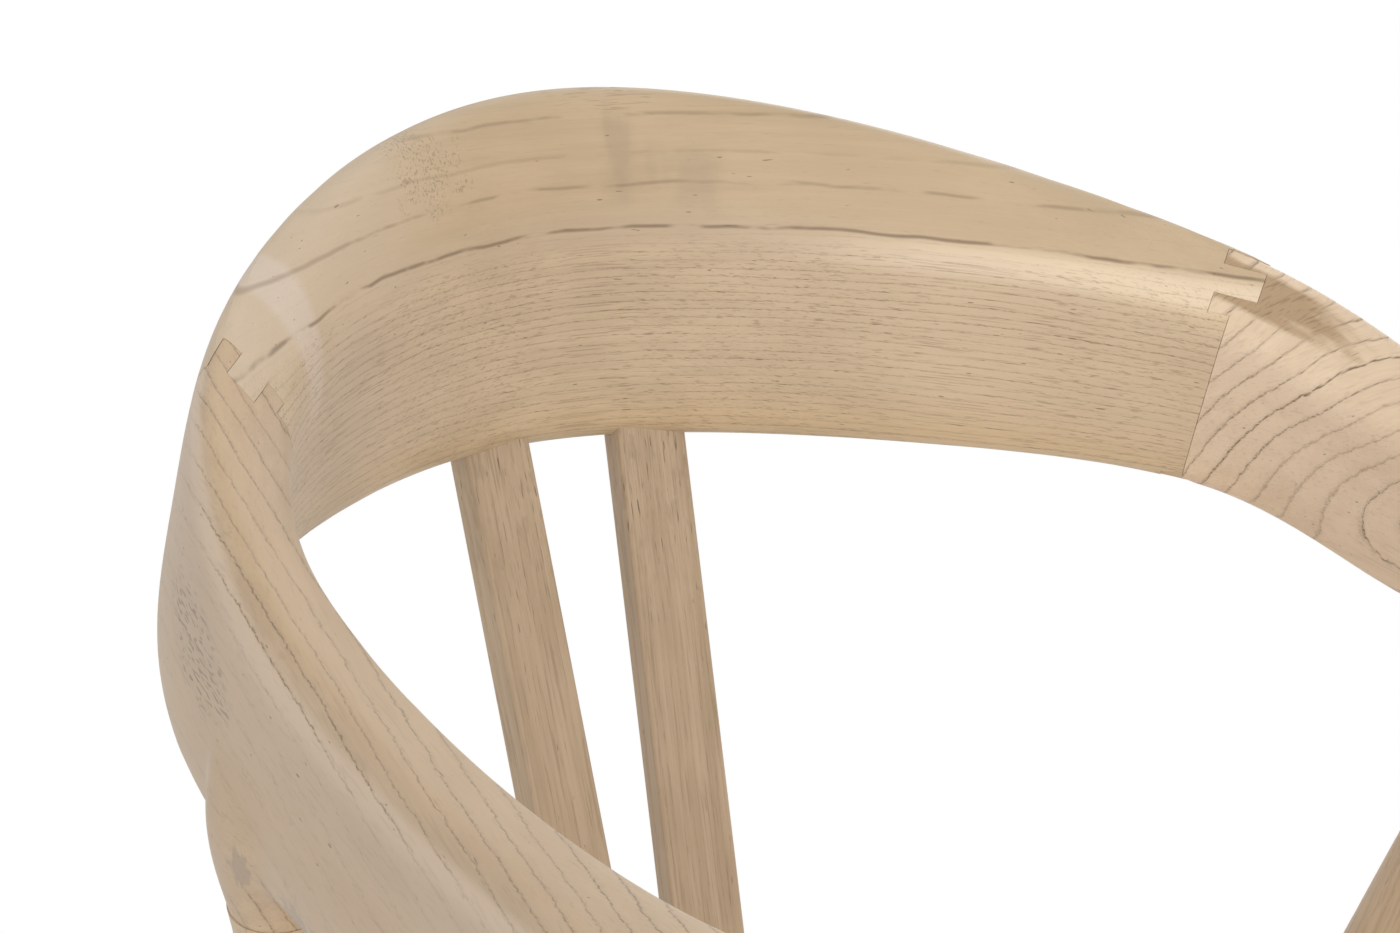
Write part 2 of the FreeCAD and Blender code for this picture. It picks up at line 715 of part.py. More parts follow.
board = panel_blank()
# The dish is the tip of an ellipsoid let into the top, so many times as high as it is deep.
DISH_RISE = 10
dish = doc.addObject("Part::Ellipsoid", "PanelDish")
dish.setExpression("Radius1", f"Sizes.panel_dish_depth * {DISH_RISE}")
dish_spread = 1 / math.sqrt(1 - (1 - 1 / DISH_RISE) ** 2)
dish.setExpression("Radius2", f"Sizes.panel_dish_width / 2 * {dish_spread:.6f}")
dish.setExpression("Radius3", f"Sizes.panel_dish_length / 2 * {dish_spread:.6f}")
dish.setExpression("Placement.Base.y", "-Sizes.panel_dish_forward")
dish.setExpression("Placement.Base.z", f"Sizes.seat_height + Sizes.panel_dish_depth * {DISH_RISE - 1}")
notches = [raw_feature(f"PanelNotch{name.title()}", rear_leg_shape(side, size["panel_leg_clearance"]))
           for name, side in SIDES]

# Battens under the panel
battens = []
for name, side in SIDES:
    start = Vector(side * size["batten_spacing"] / 2, -size["front_leg_forward"],
                   panel_underside - size["batten_height"] / 2)
    end = Vector(start.x, bow_middle + math.sqrt(bow_radius ** 2 - start.x ** 2), start.z)
    blank = bar(f"BattenBar{name.title()}", start, end, "batten_width", "batten_height")
    batten = cut(f"Batten{name.title()}", blank, [seat_rails["front"], rear_bar])
    battens.append((name, start, end, batten))


def screw(name, head, way, length_alias):
    """A wood screw, its head's top at a point, running a way into the wood."""
    shank = rod(name + "Shank", head, head + way * size[length_alias], "screw_radius")
    top = doc.addObject("Part::Cone", name + "Head")
    top.setExpression("Radius1", "Sizes.screw_head_radius")
    top.setExpression("Radius2", "Sizes.screw_radius")
    top.setExpression("Height", "Sizes.screw_head_height")
    top.Placement = Placement(head, Rotation(UP, way))
    return fuse(name, [shank, top])


# Corner blocks across the frame's corners, each with a screw up into the panel
block_screws = []
doc.recompute()


def block_ends(row, side):
    """Where a corner block meets the middle of its side rail and of its front or rear rail."""
    corner = frame_corners[row, side]
    far_end = frame_corners["rear" if row == "front" else "front", side]
    reach = size["corner_block_reach"]
    on_side = corner + (far_end - corner).normalize() * reach
    on_cross = corner + Vector(-side * reach, 0, 0)
    if row == "rear":
        angle = side * (bow_half_angle - reach / bow_radius)
        on_cross = Vector(bow_radius * math.sin(angle), bow_middle + bow_radius * math.cos(angle), 0)
    height = panel_underside - size["corner_block_drop"] - size["corner_block_height"] / 2
    return Vector(on_side.x, on_side.y, height), Vector(on_cross.x, on_cross.y, height)


for name, side in SIDES:
    for row in ("front", "rear"):
        label = f"{row.title()}{name.title()}"
        on_side, on_cross = block_ends(row, side)
        middle = (on_side + on_cross) / 2
        blank = bar(f"BlockBar{label}", on_side, on_cross, "corner_block_width", "corner_block_height")
        side_rail = seat_rails[name]
        cross_rail = seat_rails["front"] if row == "front" else rear_bar
        screw_head = Vector(middle.x, middle.y, middle.z - size["corner_block_height"] / 2)
        fastener = screw(f"BlockScrew{label}", screw_head, UP, "block_screw_length")
        block_screws.append(fastener)
        block = cut(f"Block{label}", blank, [side_rail, cross_rail, leg_blanks[row, side], fastener])
        keep(block, f"corner_block_{row}_{name}")
keep(fuse("CornerBlockScrews", block_screws), "corner_block_screws")

# Screws through the battens into the panel
BATTEN_SCREW_SHARES = (0.2, 0.5, 0.8)
batten_screws = []
for name, start, end, batten in battens:
    for index, share in enumerate(BATTEN_SCREW_SHARES):
        place = start + (end - start) * share
        head = Vector(place.x, place.y, panel_underside - size["batten_height"])
        batten_screws.append(screw(f"BattenScrew{name.title()}{index}", head, UP, "batten_screw_length"))
    keep(cut(f"BattenDrilled{name.title()}", batten, batten_screws[-len(BATTEN_SCREW_SHARES):]),
         f"panel_batten_{name}")
keep(fuse("BattenScrews", batten_screws), "batten_screws")
keep(cut("SeatPanel", board, [dish] + notches + panel_lets + block_screws + batten_screws), "seat_panel")

# Legs with all their mortises
for (row, side), blank in leg_blanks.items():
    name = "left" if side < 0 else "right"
    keep(cut(f"{row.title()}Leg{name.title()}", blank, lets[row, side]), f"{row}_leg_{name}")

doc.recompute()
for item in doc.Objects:
    if "Invalid" in item.State or "Error" in item.State:
        raise RuntimeError(f"{item.Label} failed: {item.State}")
for item in pieces:
    shape = item.Shape
    if shape.isNull() or not shape.isValid() or not shape.Solids:
        raise RuntimeError(f"{item.Label} has no valid solid")
for item in pieces:
    item.Shape.exportStep(f"parts/{item.Label}.step")
    print(item.Label, len(item.Shape.Solids), round(item.Shape.Volume))
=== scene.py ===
# Looks of the horseshoe back armchair, in metres and in its solids' own frame.
# X runs across the chair, the chair faces -Y and Z is up.
import math

import bmesh
import bpy
import numpy as np
from mathutils import Matrix, Vector
from mathutils.kdtree import KDTree


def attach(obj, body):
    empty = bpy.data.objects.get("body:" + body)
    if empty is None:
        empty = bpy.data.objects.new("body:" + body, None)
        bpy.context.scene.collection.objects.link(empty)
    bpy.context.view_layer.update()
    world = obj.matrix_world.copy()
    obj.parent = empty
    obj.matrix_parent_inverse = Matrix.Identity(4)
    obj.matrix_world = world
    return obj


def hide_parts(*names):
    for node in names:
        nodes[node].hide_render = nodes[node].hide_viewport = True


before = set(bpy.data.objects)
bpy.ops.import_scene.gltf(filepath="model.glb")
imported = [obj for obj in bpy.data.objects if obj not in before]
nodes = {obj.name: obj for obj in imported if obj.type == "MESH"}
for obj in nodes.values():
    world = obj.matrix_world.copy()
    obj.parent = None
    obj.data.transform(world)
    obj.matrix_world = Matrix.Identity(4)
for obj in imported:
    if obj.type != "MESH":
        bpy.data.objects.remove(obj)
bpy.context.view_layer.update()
scene = bpy.context.scene
MM = 0.001

# The rail, crest and arms in one sweep, from the middle of the crest to the front.
# Places run from 0 to 1 along half of it, and everything else here is in millimetres.
RAIL_PLACES = (0.00, 0.18, 0.36, 0.54, 0.72, 1.00)
RAIL_ACROSS = (0.000, 0.479, 0.781, 0.893, 0.948, 1.000)
RAIL_FORWARD = (0.000, 0.110, 0.281, 0.447, 0.680, 1.000)
RAIL_DROPS = (0.000, 0.142, 0.375, 0.754, 0.974, 1.000)
RAIL_SWELLS = (0.00, 0.00, 0.16, 0.40, 0.64, 0.97)
RAIL_DEPTHS = (1.000, 0.750, 0.490, 0.308, 0.140, 0.000)
RAIL_ROLLS = (0.6, 1.0, 0.5, 0.0, 0.0, 0.0)
RAIL_TAPERS = (1.00, 0.82, 0.36, 0.00, 0.00, 0.00)
RAIL_BEVELS = (0.08, 0.08, 1.00, 0.50, 0.20, 0.00)
RAIL_LEANS = (7.9, 6.2, 10.4, 8.2, 6.4, -2.2)
CREST_HEIGHT = 735
CREST_BACK = 243
HALF_SPAN = 263
RAIL_LENGTH = 494
RAIL_DROP = 102
CREST_THICKNESS = 29
CREST_ROLL = 2
CREST_TAPER = 11
TOP_BEVEL = 24
ARM_WIDTH = 60
CREST_DEPTH = 130
ARM_DEPTH = 53
JOINT_PLACE = 0.336
JOINT_TURN = 8.0
TIP_PLACE = 0.93
TIP_ROUNDING = 26
SECTION_POWER = 3.2
ROLL_START = 0.15
ROLL_POWER = 1.5
# The rear legs' tops and the haunches that the arms grow down to them
POST_PLACE = 0.595
POST_OUTSET = 5
POST_DROP = 42
POST_RISE = (0.364, -0.234, 1.0)
POST_RADIUS = 18.3
HAUNCH_PLACE = 0.61
HAUNCH_HEIGHT = 42
HAUNCH_LENGTH = 92
HAUNCH_WIDTH = 46
HAUNCH_START = -0.2
HAUNCH_SECTIONS = 16
HAUNCH_POINTS = 64
HAUNCH_LENGTH_POWER = 1.7
HAUNCH_WIDTH_POWER = 1.3
BLEND_SHARE = 0.35
BLEND_REACH = 62
BLEND_ROUNDS = 70
BLEND_STRENGTH = 0.6
EVEN_ROUNDS = 8
EVEN_STRENGTH = 0.5
# Comb joint between crest and arms
FINGER_LENGTH = 16
FINGER_LANE = 7.5
FINGER_EDGES = (-1.33, -0.56, 0.7, 1.53)
GLUE_LINE = 0.08
# Half the chair's width over the arms
WIDEST = 287.5


def end_slope(places, rows):
    """The slope at the first of four places, of the cubic curve through all four."""
    slopes = np.zeros(rows.shape[1])
    for column in range(rows.shape[1]):
        cubic = np.polyfit(places - places[0], rows[:, column], 3)
        slopes[column] = cubic[2]
    return slopes


class SmoothCurve:
    """A smooth curve of cubic pieces through rows of values, one row to a place."""

    def __init__(self, places, rows):
        self.places = np.asarray(places, float)
        self.rows = np.asarray(rows, float)
        gaps = np.diff(self.places)
        steps = np.diff(self.rows, axis=0) / gaps[:, None]
        count = len(self.places)
        matrix = np.zeros((count, count))
        right = np.zeros(self.rows.shape)
        start = end_slope(self.places[:4], self.rows[:4])
        end = -end_slope(-self.places[:-5:-1], self.rows[:-5:-1])
        matrix[0, :2] = 2 * gaps[0], gaps[0]
        right[0] = 6 * (steps[0] - start)
        matrix[-1, -2:] = gaps[-1], 2 * gaps[-1]
        right[-1] = 6 * (end - steps[-1])
        for index in range(1, count - 1):
            before, after = gaps[index - 1], gaps[index]
            matrix[index, index - 1:index + 2] = before, 2 * (before + after), after
            right[index] = 6 * (steps[index] - steps[index - 1])
        self.bends = np.linalg.solve(matrix, right)

    def at(self, place):
        index = int(np.clip(np.searchsorted(self.places, place) - 1, 0, len(self.places) - 2))
        gap = self.places[index + 1] - self.places[index]
        before = (self.places[index + 1] - place) / gap
        after = 1 - before
        return (before * self.rows[index] + after * self.rows[index + 1]
                + ((before ** 3 - before) * self.bends[index]
                   + (after ** 3 - after) * self.bends[index + 1]) * gap ** 2 / 6)


def rail_curve():
    """Centre, width, depth, lean, roll, taper and bevel along the rail, from left front to right front."""
    half = []
    for across, forward, drop, swell, deep, lean, roll, taper, bevel in zip(
            RAIL_ACROSS, RAIL_FORWARD, RAIL_DROPS, RAIL_SWELLS, RAIL_DEPTHS, RAIL_LEANS,
            RAIL_ROLLS, RAIL_TAPERS, RAIL_BEVELS):
        half.append((across * HALF_SPAN, CREST_BACK - forward * RAIL_LENGTH, CREST_HEIGHT - drop * RAIL_DROP,
                     CREST_THICKNESS + swell * (ARM_WIDTH - CREST_THICKNESS),
                     ARM_DEPTH + deep * (CREST_DEPTH - ARM_DEPTH), lean,
                     roll * CREST_ROLL, taper * CREST_TAPER, bevel * TOP_BEVEL))
    half = np.array(half)
    left = half[:0:-1].copy()
    left[:, 0] *= -1
    places = np.array(RAIL_PLACES)
    return SmoothCurve(np.concatenate([-places[:0:-1], places]), np.concatenate([left, half]))


rail = rail_curve()


def rail_direction(place):
    step = 1e-4
    run = rail.at(place + step)[:3] - rail.at(place - step)[:3]
    return run / np.linalg.norm(run)


def rail_axes(place):
    """Centre of the rail's section, and its outward and upward ways with the lean in them."""
    values = rail.at(place)
    along = rail_direction(place)
    outward = np.cross((0, 0, 1), along)
    outward /= np.linalg.norm(outward)
    upward = np.cross(along, outward)
    lean = math.radians(values[5])
    return (values[:3], outward * math.cos(lean) + upward * math.sin(lean),
            upward * math.cos(lean) - outward * math.sin(lean))


def signed_power(values, power):
    return np.sign(values) * np.abs(values) ** power


def rail_ring(place, points, part_left=1.0):
    """Points round the rail's section: a rounded rectangle, its top rolled, thinned and bevelled inside."""
    centre, outward, upward = rail_axes(place)
    width, depth, lean, roll, taper, bevel = rail.at(place)[3:]
    angles = 2 * math.pi * np.arange(points) / points
    out_share = signed_power(np.cos(angles), 2 / SECTION_POWER)
    up_share = signed_power(np.sin(angles), 2 / SECTION_POWER)
    rolled = np.clip((up_share - ROLL_START) / (1 - ROLL_START), 0, None) ** ROLL_POWER
    inside = (1 - out_share) / 2
    out = part_left * (out_share * width / 2 + rolled * (roll + taper * inside))
    up = part_left * (up_share * depth / 2 - bevel * rolled * inside)
    return centre + out[:, None] * outward + up[:, None] * upward


def evened_ring(ring, points):
    """The same closed outline with its points at even distances."""
    closed = np.vstack([ring, ring[:1]])
    lengths = np.concatenate([[0], np.cumsum(np.linalg.norm(np.diff(closed, axis=0), axis=1))])
    wanted = np.linspace(0, lengths[-1], points, endpoint=False)
    return np.column_stack([np.interp(wanted, lengths, closed[:, axis]) for axis in range(3)])


def tube_mesh(name, rings):
    """A closed skin over a row of rings, each end closed by one face."""
    count = len(rings[0])
    vertices = np.concatenate(rings) * MM
    faces = []
    for row in range(len(rings) - 1):
        for column in range(count):
            after = (column + 1) % count
            faces.append((row * count + column, row * count + after,
                          (row + 1) * count + after, (row + 1) * count + column))
    faces.append(tuple(range(count - 1, -1, -1)))
    faces.append(tuple(range((len(rings) - 1) * count, len(rings) * count)))
    mesh = bpy.data.meshes.new(name)
    mesh.from_pydata(vertices.tolist(), [], faces)
    shaped = bmesh.new()
    shaped.from_mesh(mesh)
    bmesh.ops.recalc_face_normals(shaped, faces=shaped.faces)
    shaped.to_mesh(mesh)
    shaped.free()
    return mesh


def new_object(name, mesh):
    made = bpy.data.objects.new(name, mesh)
    scene.collection.objects.link(made)
    return made


def with_modifiers_applied(item):
    """Turns an object's modifiers into its mesh."""
    bpy.context.view_layer.update()
    seen = item.evaluated_get(bpy.context.evaluated_depsgraph_get())
    mesh = bpy.data.meshes.new_from_object(seen)
    item.modifiers.clear()
    item.data = mesh
    return item


def carve(item, tool, operation):
    """Cuts a tool's shape out of an object, keeps only what is inside it, or joins it on."""
    change = item.modifiers.new(operation.title(), "BOOLEAN")
    change.operation = operation
    change.solver = "EXACT"
    change.object = tool
    return with_modifiers_applied(item)


def arm_region(side, inset):
    """The space on an arm's side of its comb joint, as a prism that leans with the rail."""
    corner, square_out, upward = rail_axes(side * JOINT_PLACE)
    square_ahead = rail_direction(side * JOINT_PLACE) * side
    turn = math.radians(JOINT_TURN)
    forward = square_ahead * math.cos(turn) + square_out * math.sin(turn)
    outward = square_out * math.cos(turn) - square_ahead * math.sin(turn)
    edges = [share * FINGER_LANE for share in FINGER_EDGES]
    half = FINGER_LENGTH / 2
    reach = HALF_SPAN
    outline = [(0, -reach), (0, edges[0]), (-half, edges[0]), (-half, edges[1]), (half, edges[1]),
               (half, edges[2]), (-half, edges[2]), (-half, edges[3]), (half, edges[3]),
               (half, reach), (2 * reach, reach), (2 * reach, -reach)]
    # Each edge moves into the prism by the inset, across fingers and along them alike.
    signs = [1, 1, 1, -1, -1, 1, 1, -1, -1, 0, 0, 0]
    points = []
    for (ahead, out), sign in zip(outline, signs):
        points.append(corner + forward * (ahead + inset) + outward * (out + sign * inset))
    low = [point - upward * reach for point in points]
    high = [point + upward * reach for point in points]
    count = len(points)
    mesh = bpy.data.meshes.new("ArmRegion")
    faces = [tuple(range(count)), tuple(range(2 * count - 1, count - 1, -1))]
    for index in range(count):
        after = (index + 1) % count
        faces.append((index, index + count, after + count, after))
    mesh.from_pydata((np.array(low + high) * MM).tolist(), [], faces)
    shaped = bmesh.new()
    shaped.from_mesh(mesh)
    bmesh.ops.recalc_face_normals(shaped, faces=shaped.faces)
    shaped.to_mesh(mesh)
    shaped.free()
    return new_object("ArmRegion", mesh)


CREST_SECTIONS = 220
ARM_SECTIONS = 170
RING_POINTS = 120
TIP_SECTIONS = 12
TIP_START = 0.15
TIP_DRAWN_IN = 0.6
TIP_POWER = 2.4
LENGTH_STEPS = 200
PAST_JOINT = 0.06
VOXEL = 1.25


def post_frame(side):
    """Top of a rear leg's centre line, the way up it, and the ways along and across the haunch."""
    top = rail.at(side * POST_PLACE)[:3] + (side * POST_OUTSET, 0, -POST_DROP)
    rise = np.array([side * POST_RISE[0], POST_RISE[1], POST_RISE[2]])
    rise /= np.linalg.norm(rise)
    run = rail_direction(side * HAUNCH_PLACE)
    along = run - rise * (run @ rise)
    along /= np.linalg.norm(along)
    return top, rise, along, np.cross(rise, along)


def haunch_rings(side):
    """From the leg's round, below its top, to a long oval inside the arm."""
    top, rise, along, across = post_frame(side)
    middle = rail.at(side * HAUNCH_PLACE)[:3]
    angles = 2 * math.pi * np.arange(HAUNCH_POINTS) / HAUNCH_POINTS
    rings = []
    for share in np.linspace(HAUNCH_START, 1.0, HAUNCH_SECTIONS):
        kept = max(share, 0.0)
        straight_up = top + rise * (share * HAUNCH_HEIGHT)
        centre = straight_up + (middle - straight_up) * kept ** 3
        long_way = POST_RADIUS + kept ** HAUNCH_LENGTH_POWER * (HAUNCH_LENGTH / 2 - POST_RADIUS)
        wide_way = POST_RADIUS + kept ** HAUNCH_WIDTH_POWER * (HAUNCH_WIDTH / 2 - POST_RADIUS)
        rings.append(centre + np.outer(long_way * np.cos(angles), along)
                     + np.outer(wide_way * np.sin(angles), across))
    return rings


def smoothed_near(mesh, middle, reach, rounds):
    """Evens out a mesh, a little everywhere in its first rounds and then only near a point, so that a haunch
    flows into its arm."""
    count = len(mesh.vertices)
    places = np.zeros(count * 3)
    mesh.vertices.foreach_get("co", places)
    places = places.reshape(-1, 3)
    ends = np.zeros(len(mesh.edges) * 2, int)
    mesh.edges.foreach_get("vertices", ends)
    ends = ends.reshape(-1, 2)
    degree = np.bincount(ends.ravel(), minlength=count)[:, None]
    distance = np.linalg.norm(places - middle, axis=1)
    local = np.clip(1 - distance / reach, 0, 1)[:, None] ** 0.5
    for turn in range(rounds):
        total = np.zeros_like(places)
        for axis in range(3):
            total[:, axis] = (np.bincount(ends[:, 0], places[ends[:, 1], axis], count)
                              + np.bincount(ends[:, 1], places[ends[:, 0], axis], count))
        strength = EVEN_STRENGTH if turn < EVEN_ROUNDS else local * BLEND_STRENGTH
        places += (total / degree - places) * strength
    mesh.vertices.foreach_set("co", places.ravel())
    mesh.update()


def shade_smooth(mesh, sharp_degrees=30.0):
    """Shades a mesh smoothly, apart from edges that turn by more than an angle."""
    shaped = bmesh.new()
    shaped.from_mesh(mesh)
    for edge in shaped.edges:
        edge.smooth = edge.calc_face_angle(0) < math.radians(sharp_degrees)
    for face in shaped.faces:
        face.smooth = True
    shaped.to_mesh(mesh)
    shaped.free()


def make_arm(side, name):
    """An arm from its comb joint to its rounded front end, with its haunch grown down to the leg."""
    places = list(np.linspace(JOINT_PLACE - PAST_JOINT, TIP_PLACE, ARM_SECTIONS))
    rings = [evened_ring(rail_ring(side * place, 4 * RING_POINTS), RING_POINTS) for place in places]
    line = np.array([rail.at(place)[:3] for place in np.linspace(0, 1, LENGTH_STEPS + 1)])
    length = np.linalg.norm(np.diff(line, axis=0), axis=1).sum()
    rounding = TIP_ROUNDING / length
    for turn in np.linspace(TIP_START, 1.0, TIP_SECTIONS):
        left = 1 - TIP_DRAWN_IN * (1 - math.sqrt(max(0.0, 1 - turn ** TIP_POWER)))
        ring = rail_ring(side * (TIP_PLACE + turn * rounding), 4 * RING_POINTS, left)
        rings.append(evened_ring(ring, RING_POINTS))
    arm = new_object(name, tube_mesh(name, rings))
    haunch = new_object("HaunchBlank", tube_mesh("HaunchBlank", haunch_rings(side)))
    carve(arm, haunch, "UNION")
    bpy.data.objects.remove(haunch)
    even = arm.modifiers.new("Even", "REMESH")
    even.mode = "VOXEL"
    even.voxel_size = VOXEL * MM
    with_modifiers_applied(arm)
    top, rise = post_frame(side)[:2]
    meeting = (top + rise * HAUNCH_HEIGHT * BLEND_SHARE) * MM
    smoothed_near(arm.data, meeting, BLEND_REACH * MM, BLEND_ROUNDS)
    for vertex in arm.data.vertices:
        vertex.co.x = min(max(vertex.co.x, -WIDEST * MM), WIDEST * MM)
    shaped = bmesh.new()
    shaped.from_mesh(arm.data)
    end = bmesh.ops.bisect_plane(shaped, geom=shaped.verts[:] + shaped.edges[:] + shaped.faces[:],
                                 plane_co=Vector((top + rise * GLUE_LINE) * MM), plane_no=Vector(-rise),
                                 clear_outer=True)
    rim = [piece for piece in end["geom_cut"] if isinstance(piece, bmesh.types.BMEdge)]
    bmesh.ops.holes_fill(shaped, edges=rim, sides=0)
    bmesh.ops.recalc_face_normals(shaped, faces=shaped.faces)
    shaped.to_mesh(arm.data)
    shaped.free()
    region = arm_region(side, GLUE_LINE)
    carve(arm, region, "INTERSECT")
    bpy.data.objects.remove(region)
    shade_smooth(arm.data)
    return arm


def make_crest(name):
    """The crest between its two comb joints."""
    reach = JOINT_PLACE + PAST_JOINT
    rings = [evened_ring(rail_ring(place, 4 * RING_POINTS), RING_POINTS)
             for place in np.linspace(-reach, reach, CREST_SECTIONS)]
    crest = new_object(name, tube_mesh(name, rings))
    for side in (-1, 1):
        region = arm_region(side, -GLUE_LINE)
        carve(crest, region, "DIFFERENCE")
        bpy.data.objects.remove(region)
    shade_smooth(crest.data)
    return crest


RAIL_MEASURES = "rail_measures"
RAIL_SAMPLES = 1600


def mark_rail_measures(mesh):
    """Keeps, at each vertex, how far along the rail it lies in millimetres, from the middle to the right, and
    its shares of the section's half width outwards and half depth upwards."""
    places = np.linspace(-1.05, 1.05, RAIL_SAMPLES)
    rows = np.array([rail.at(place) for place in places])
    lengths = np.concatenate([[0], np.cumsum(np.linalg.norm(np.diff(rows[:, :3], axis=0), axis=1))])
    lengths -= np.interp(0, places, lengths)
    axes = [rail_axes(place) for place in places]
    tree = KDTree(RAIL_SAMPLES)
    for index, row in enumerate(rows):
        tree.insert(row[:3], index)
    tree.balance()
    points = np.zeros(len(mesh.vertices) * 3)
    mesh.vertices.foreach_get("co", points)
    points = points.reshape(-1, 3) / MM
    nearest = np.array([tree.find(point)[1] for point in points])
    offsets = points - rows[nearest, :3]
    outward = np.array([axis[1] for axis in axes])[nearest]
    upward = np.array([axis[2] for axis in axes])[nearest]
    along = np.cross(outward, upward)
    ahead = np.einsum("ij,ij->i", offsets, along)
    out_share = np.einsum("ij,ij->i", offsets, outward) * 2 / rows[nearest, 3]
    up_share = np.einsum("ij,ij->i", offsets, upward) * 2 / rows[nearest, 4]
    kept = mesh.attributes.new(RAIL_MEASURES, "FLOAT_VECTOR", "POINT")
    kept.data.foreach_set("vector", np.column_stack([lengths[nearest] + ahead, out_share, up_share]).ravel())


class Wire:
    """A node's output. Sums on wires add Math nodes to their material."""

    def __init__(self, recipe, socket):
        self.recipe = recipe
        self.socket = socket

    def math(self, operation, *others):
        values = {index: value for index, value in enumerate((self,) + others)}
        return self.recipe.node("ShaderNodeMath", {"operation": operation}, values)

    def __add__(self, other):
        return self.math("ADD", other)

    __radd__ = __add__

    def __mul__(self, other):
        return self.math("MULTIPLY", other)

    __rmul__ = __mul__

    def __sub__(self, other):
        return self.math("SUBTRACT", other)

    def __rsub__(self, other):
        return (self * -1.0).math("ADD", other)

    def __truediv__(self, other):
        return self.math("DIVIDE", other)


class Recipe:
    """One material and the nodes in it."""

    def __init__(self, name):
        self.material = bpy.data.materials.new(name)
        self.material.use_nodes = True
        self.tree = self.material.node_tree
        self.tree.nodes.clear()
        self.shader = self.node("ShaderNodeBsdfPrincipled")
        self.node("ShaderNodeOutputMaterial", {}, {"Surface": self.shader})

    def node(self, kind, settings=None, inputs=None, output=0):
        made = self.tree.nodes.new(kind)
        for name, value in (settings or {}).items():
            setattr(made, name, value)
        for name, value in (inputs or {}).items():
            if isinstance(value, Wire):
                self.tree.links.new(value.socket, made.inputs[name])
            else:
                made.inputs[name].default_value = value
        return Wire(self, made.outputs[output]) if made.outputs else made

    def into(self, name, value):
        """Sets or feeds one of the shader's own sockets."""
        socket = self.shader.socket.node.inputs[name]
        if isinstance(value, Wire):
            self.tree.links.new(value.socket, socket)
        else:
            socket.default_value = value

    def place(self):
        return self.node("ShaderNodeTexCoord", output="Object")

    def along(self, place, way):
        """How far a place lies along a way, in millimetres."""
        return self.node("ShaderNodeVectorMath", {"operation": "DOT_PRODUCT"},
                         {0: place, 1: [1000 * part for part in way]}, output="Value")

    def parts(self, place):
        made = self.node("ShaderNodeSeparateXYZ", {}, {0: place}).socket.node
        return [Wire(self, made.outputs[index]) * 1000.0 for index in range(3)]

    def rail_measures(self):
        """Millimetres along the rail, then shares of its half width outwards and half depth upwards."""
        vector = self.node("ShaderNodeAttribute", {"attribute_name": RAIL_MEASURES}, output="Vector")
        made = self.node("ShaderNodeSeparateXYZ", {}, {0: vector}).socket.node
        return [Wire(self, made.outputs[index]) for index in range(3)]

    def point(self, x, y, z):
        return self.node("ShaderNodeCombineXYZ", {}, {"X": x, "Y": y, "Z": z})

    def noise(self, point, detail=1.0, rough=0.5):
        return self.node("ShaderNodeTexNoise", {"noise_dimensions": "3D"},
                         {"Vector": point, "Scale": 1.0, "Detail": detail, "Roughness": rough})

    def rise(self, value, low, high):
        """0 below low, 1 above high and a smooth way between; falling where low is the greater."""
        if low > high:
            return 1.0 - self.rise(value, high, low)
        return self.node("ShaderNodeMapRange", {"interpolation_type": "SMOOTHSTEP"},
                         {"Value": value, "From Min": low, "From Max": high})

    def blend(self, share, first, second):
        """From one colour to another by a share."""
        return self.node("ShaderNodeMix", {"data_type": "RGBA"},
                         {0: share, 6: first, 7: second}, output=2)


def colour(red, green, blue):
    """A colour written as it looks on screen, from 0 to 255, as a shader wants it."""
    parts = []
    for part in (red, green, blue):
        share = part / 255
        parts.append(share / 12.92 if share <= 0.04045 else ((share + 0.055) / 1.055) ** 2.4)
    return parts + [1.0]


PORE_COLOUR = colour(112, 92, 70)
RING_COLOUR = colour(130, 107, 82)


def oval(measures, middle, reach, ragged=0.0):
    """1 within an oval of wood and 0 outside, its edge soft and as ragged as asked."""
    recipe = measures[0].recipe
    total = 0.0
    for measure, centre, length in zip(measures, middle, reach):
        off = (measure - centre) / length
        total = off * off + total
    distance = total.math("SQRT")
    if ragged:
        parts = [measure / (length * 0.4) for measure, length in zip(measures, reach)] + [0.0]
        edge = recipe.noise(recipe.point(*parts[:3]), 2.0)
        distance = distance + (edge - 0.5) * ragged
    return recipe.rise(distance, 1.0, 0.55)


class Grain:
    """What a wood's patches may change: its place, its grain and its marks so far."""

    def __init__(self, recipe, place, run, side, through):
        self.recipe = recipe
        self.place = place
        self.run = run
        self.side = side
        self.through = through

    def tint(self, share, red, green, blue):
        self.shade = self.recipe.blend(share, self.shade, colour(red, green, blue))


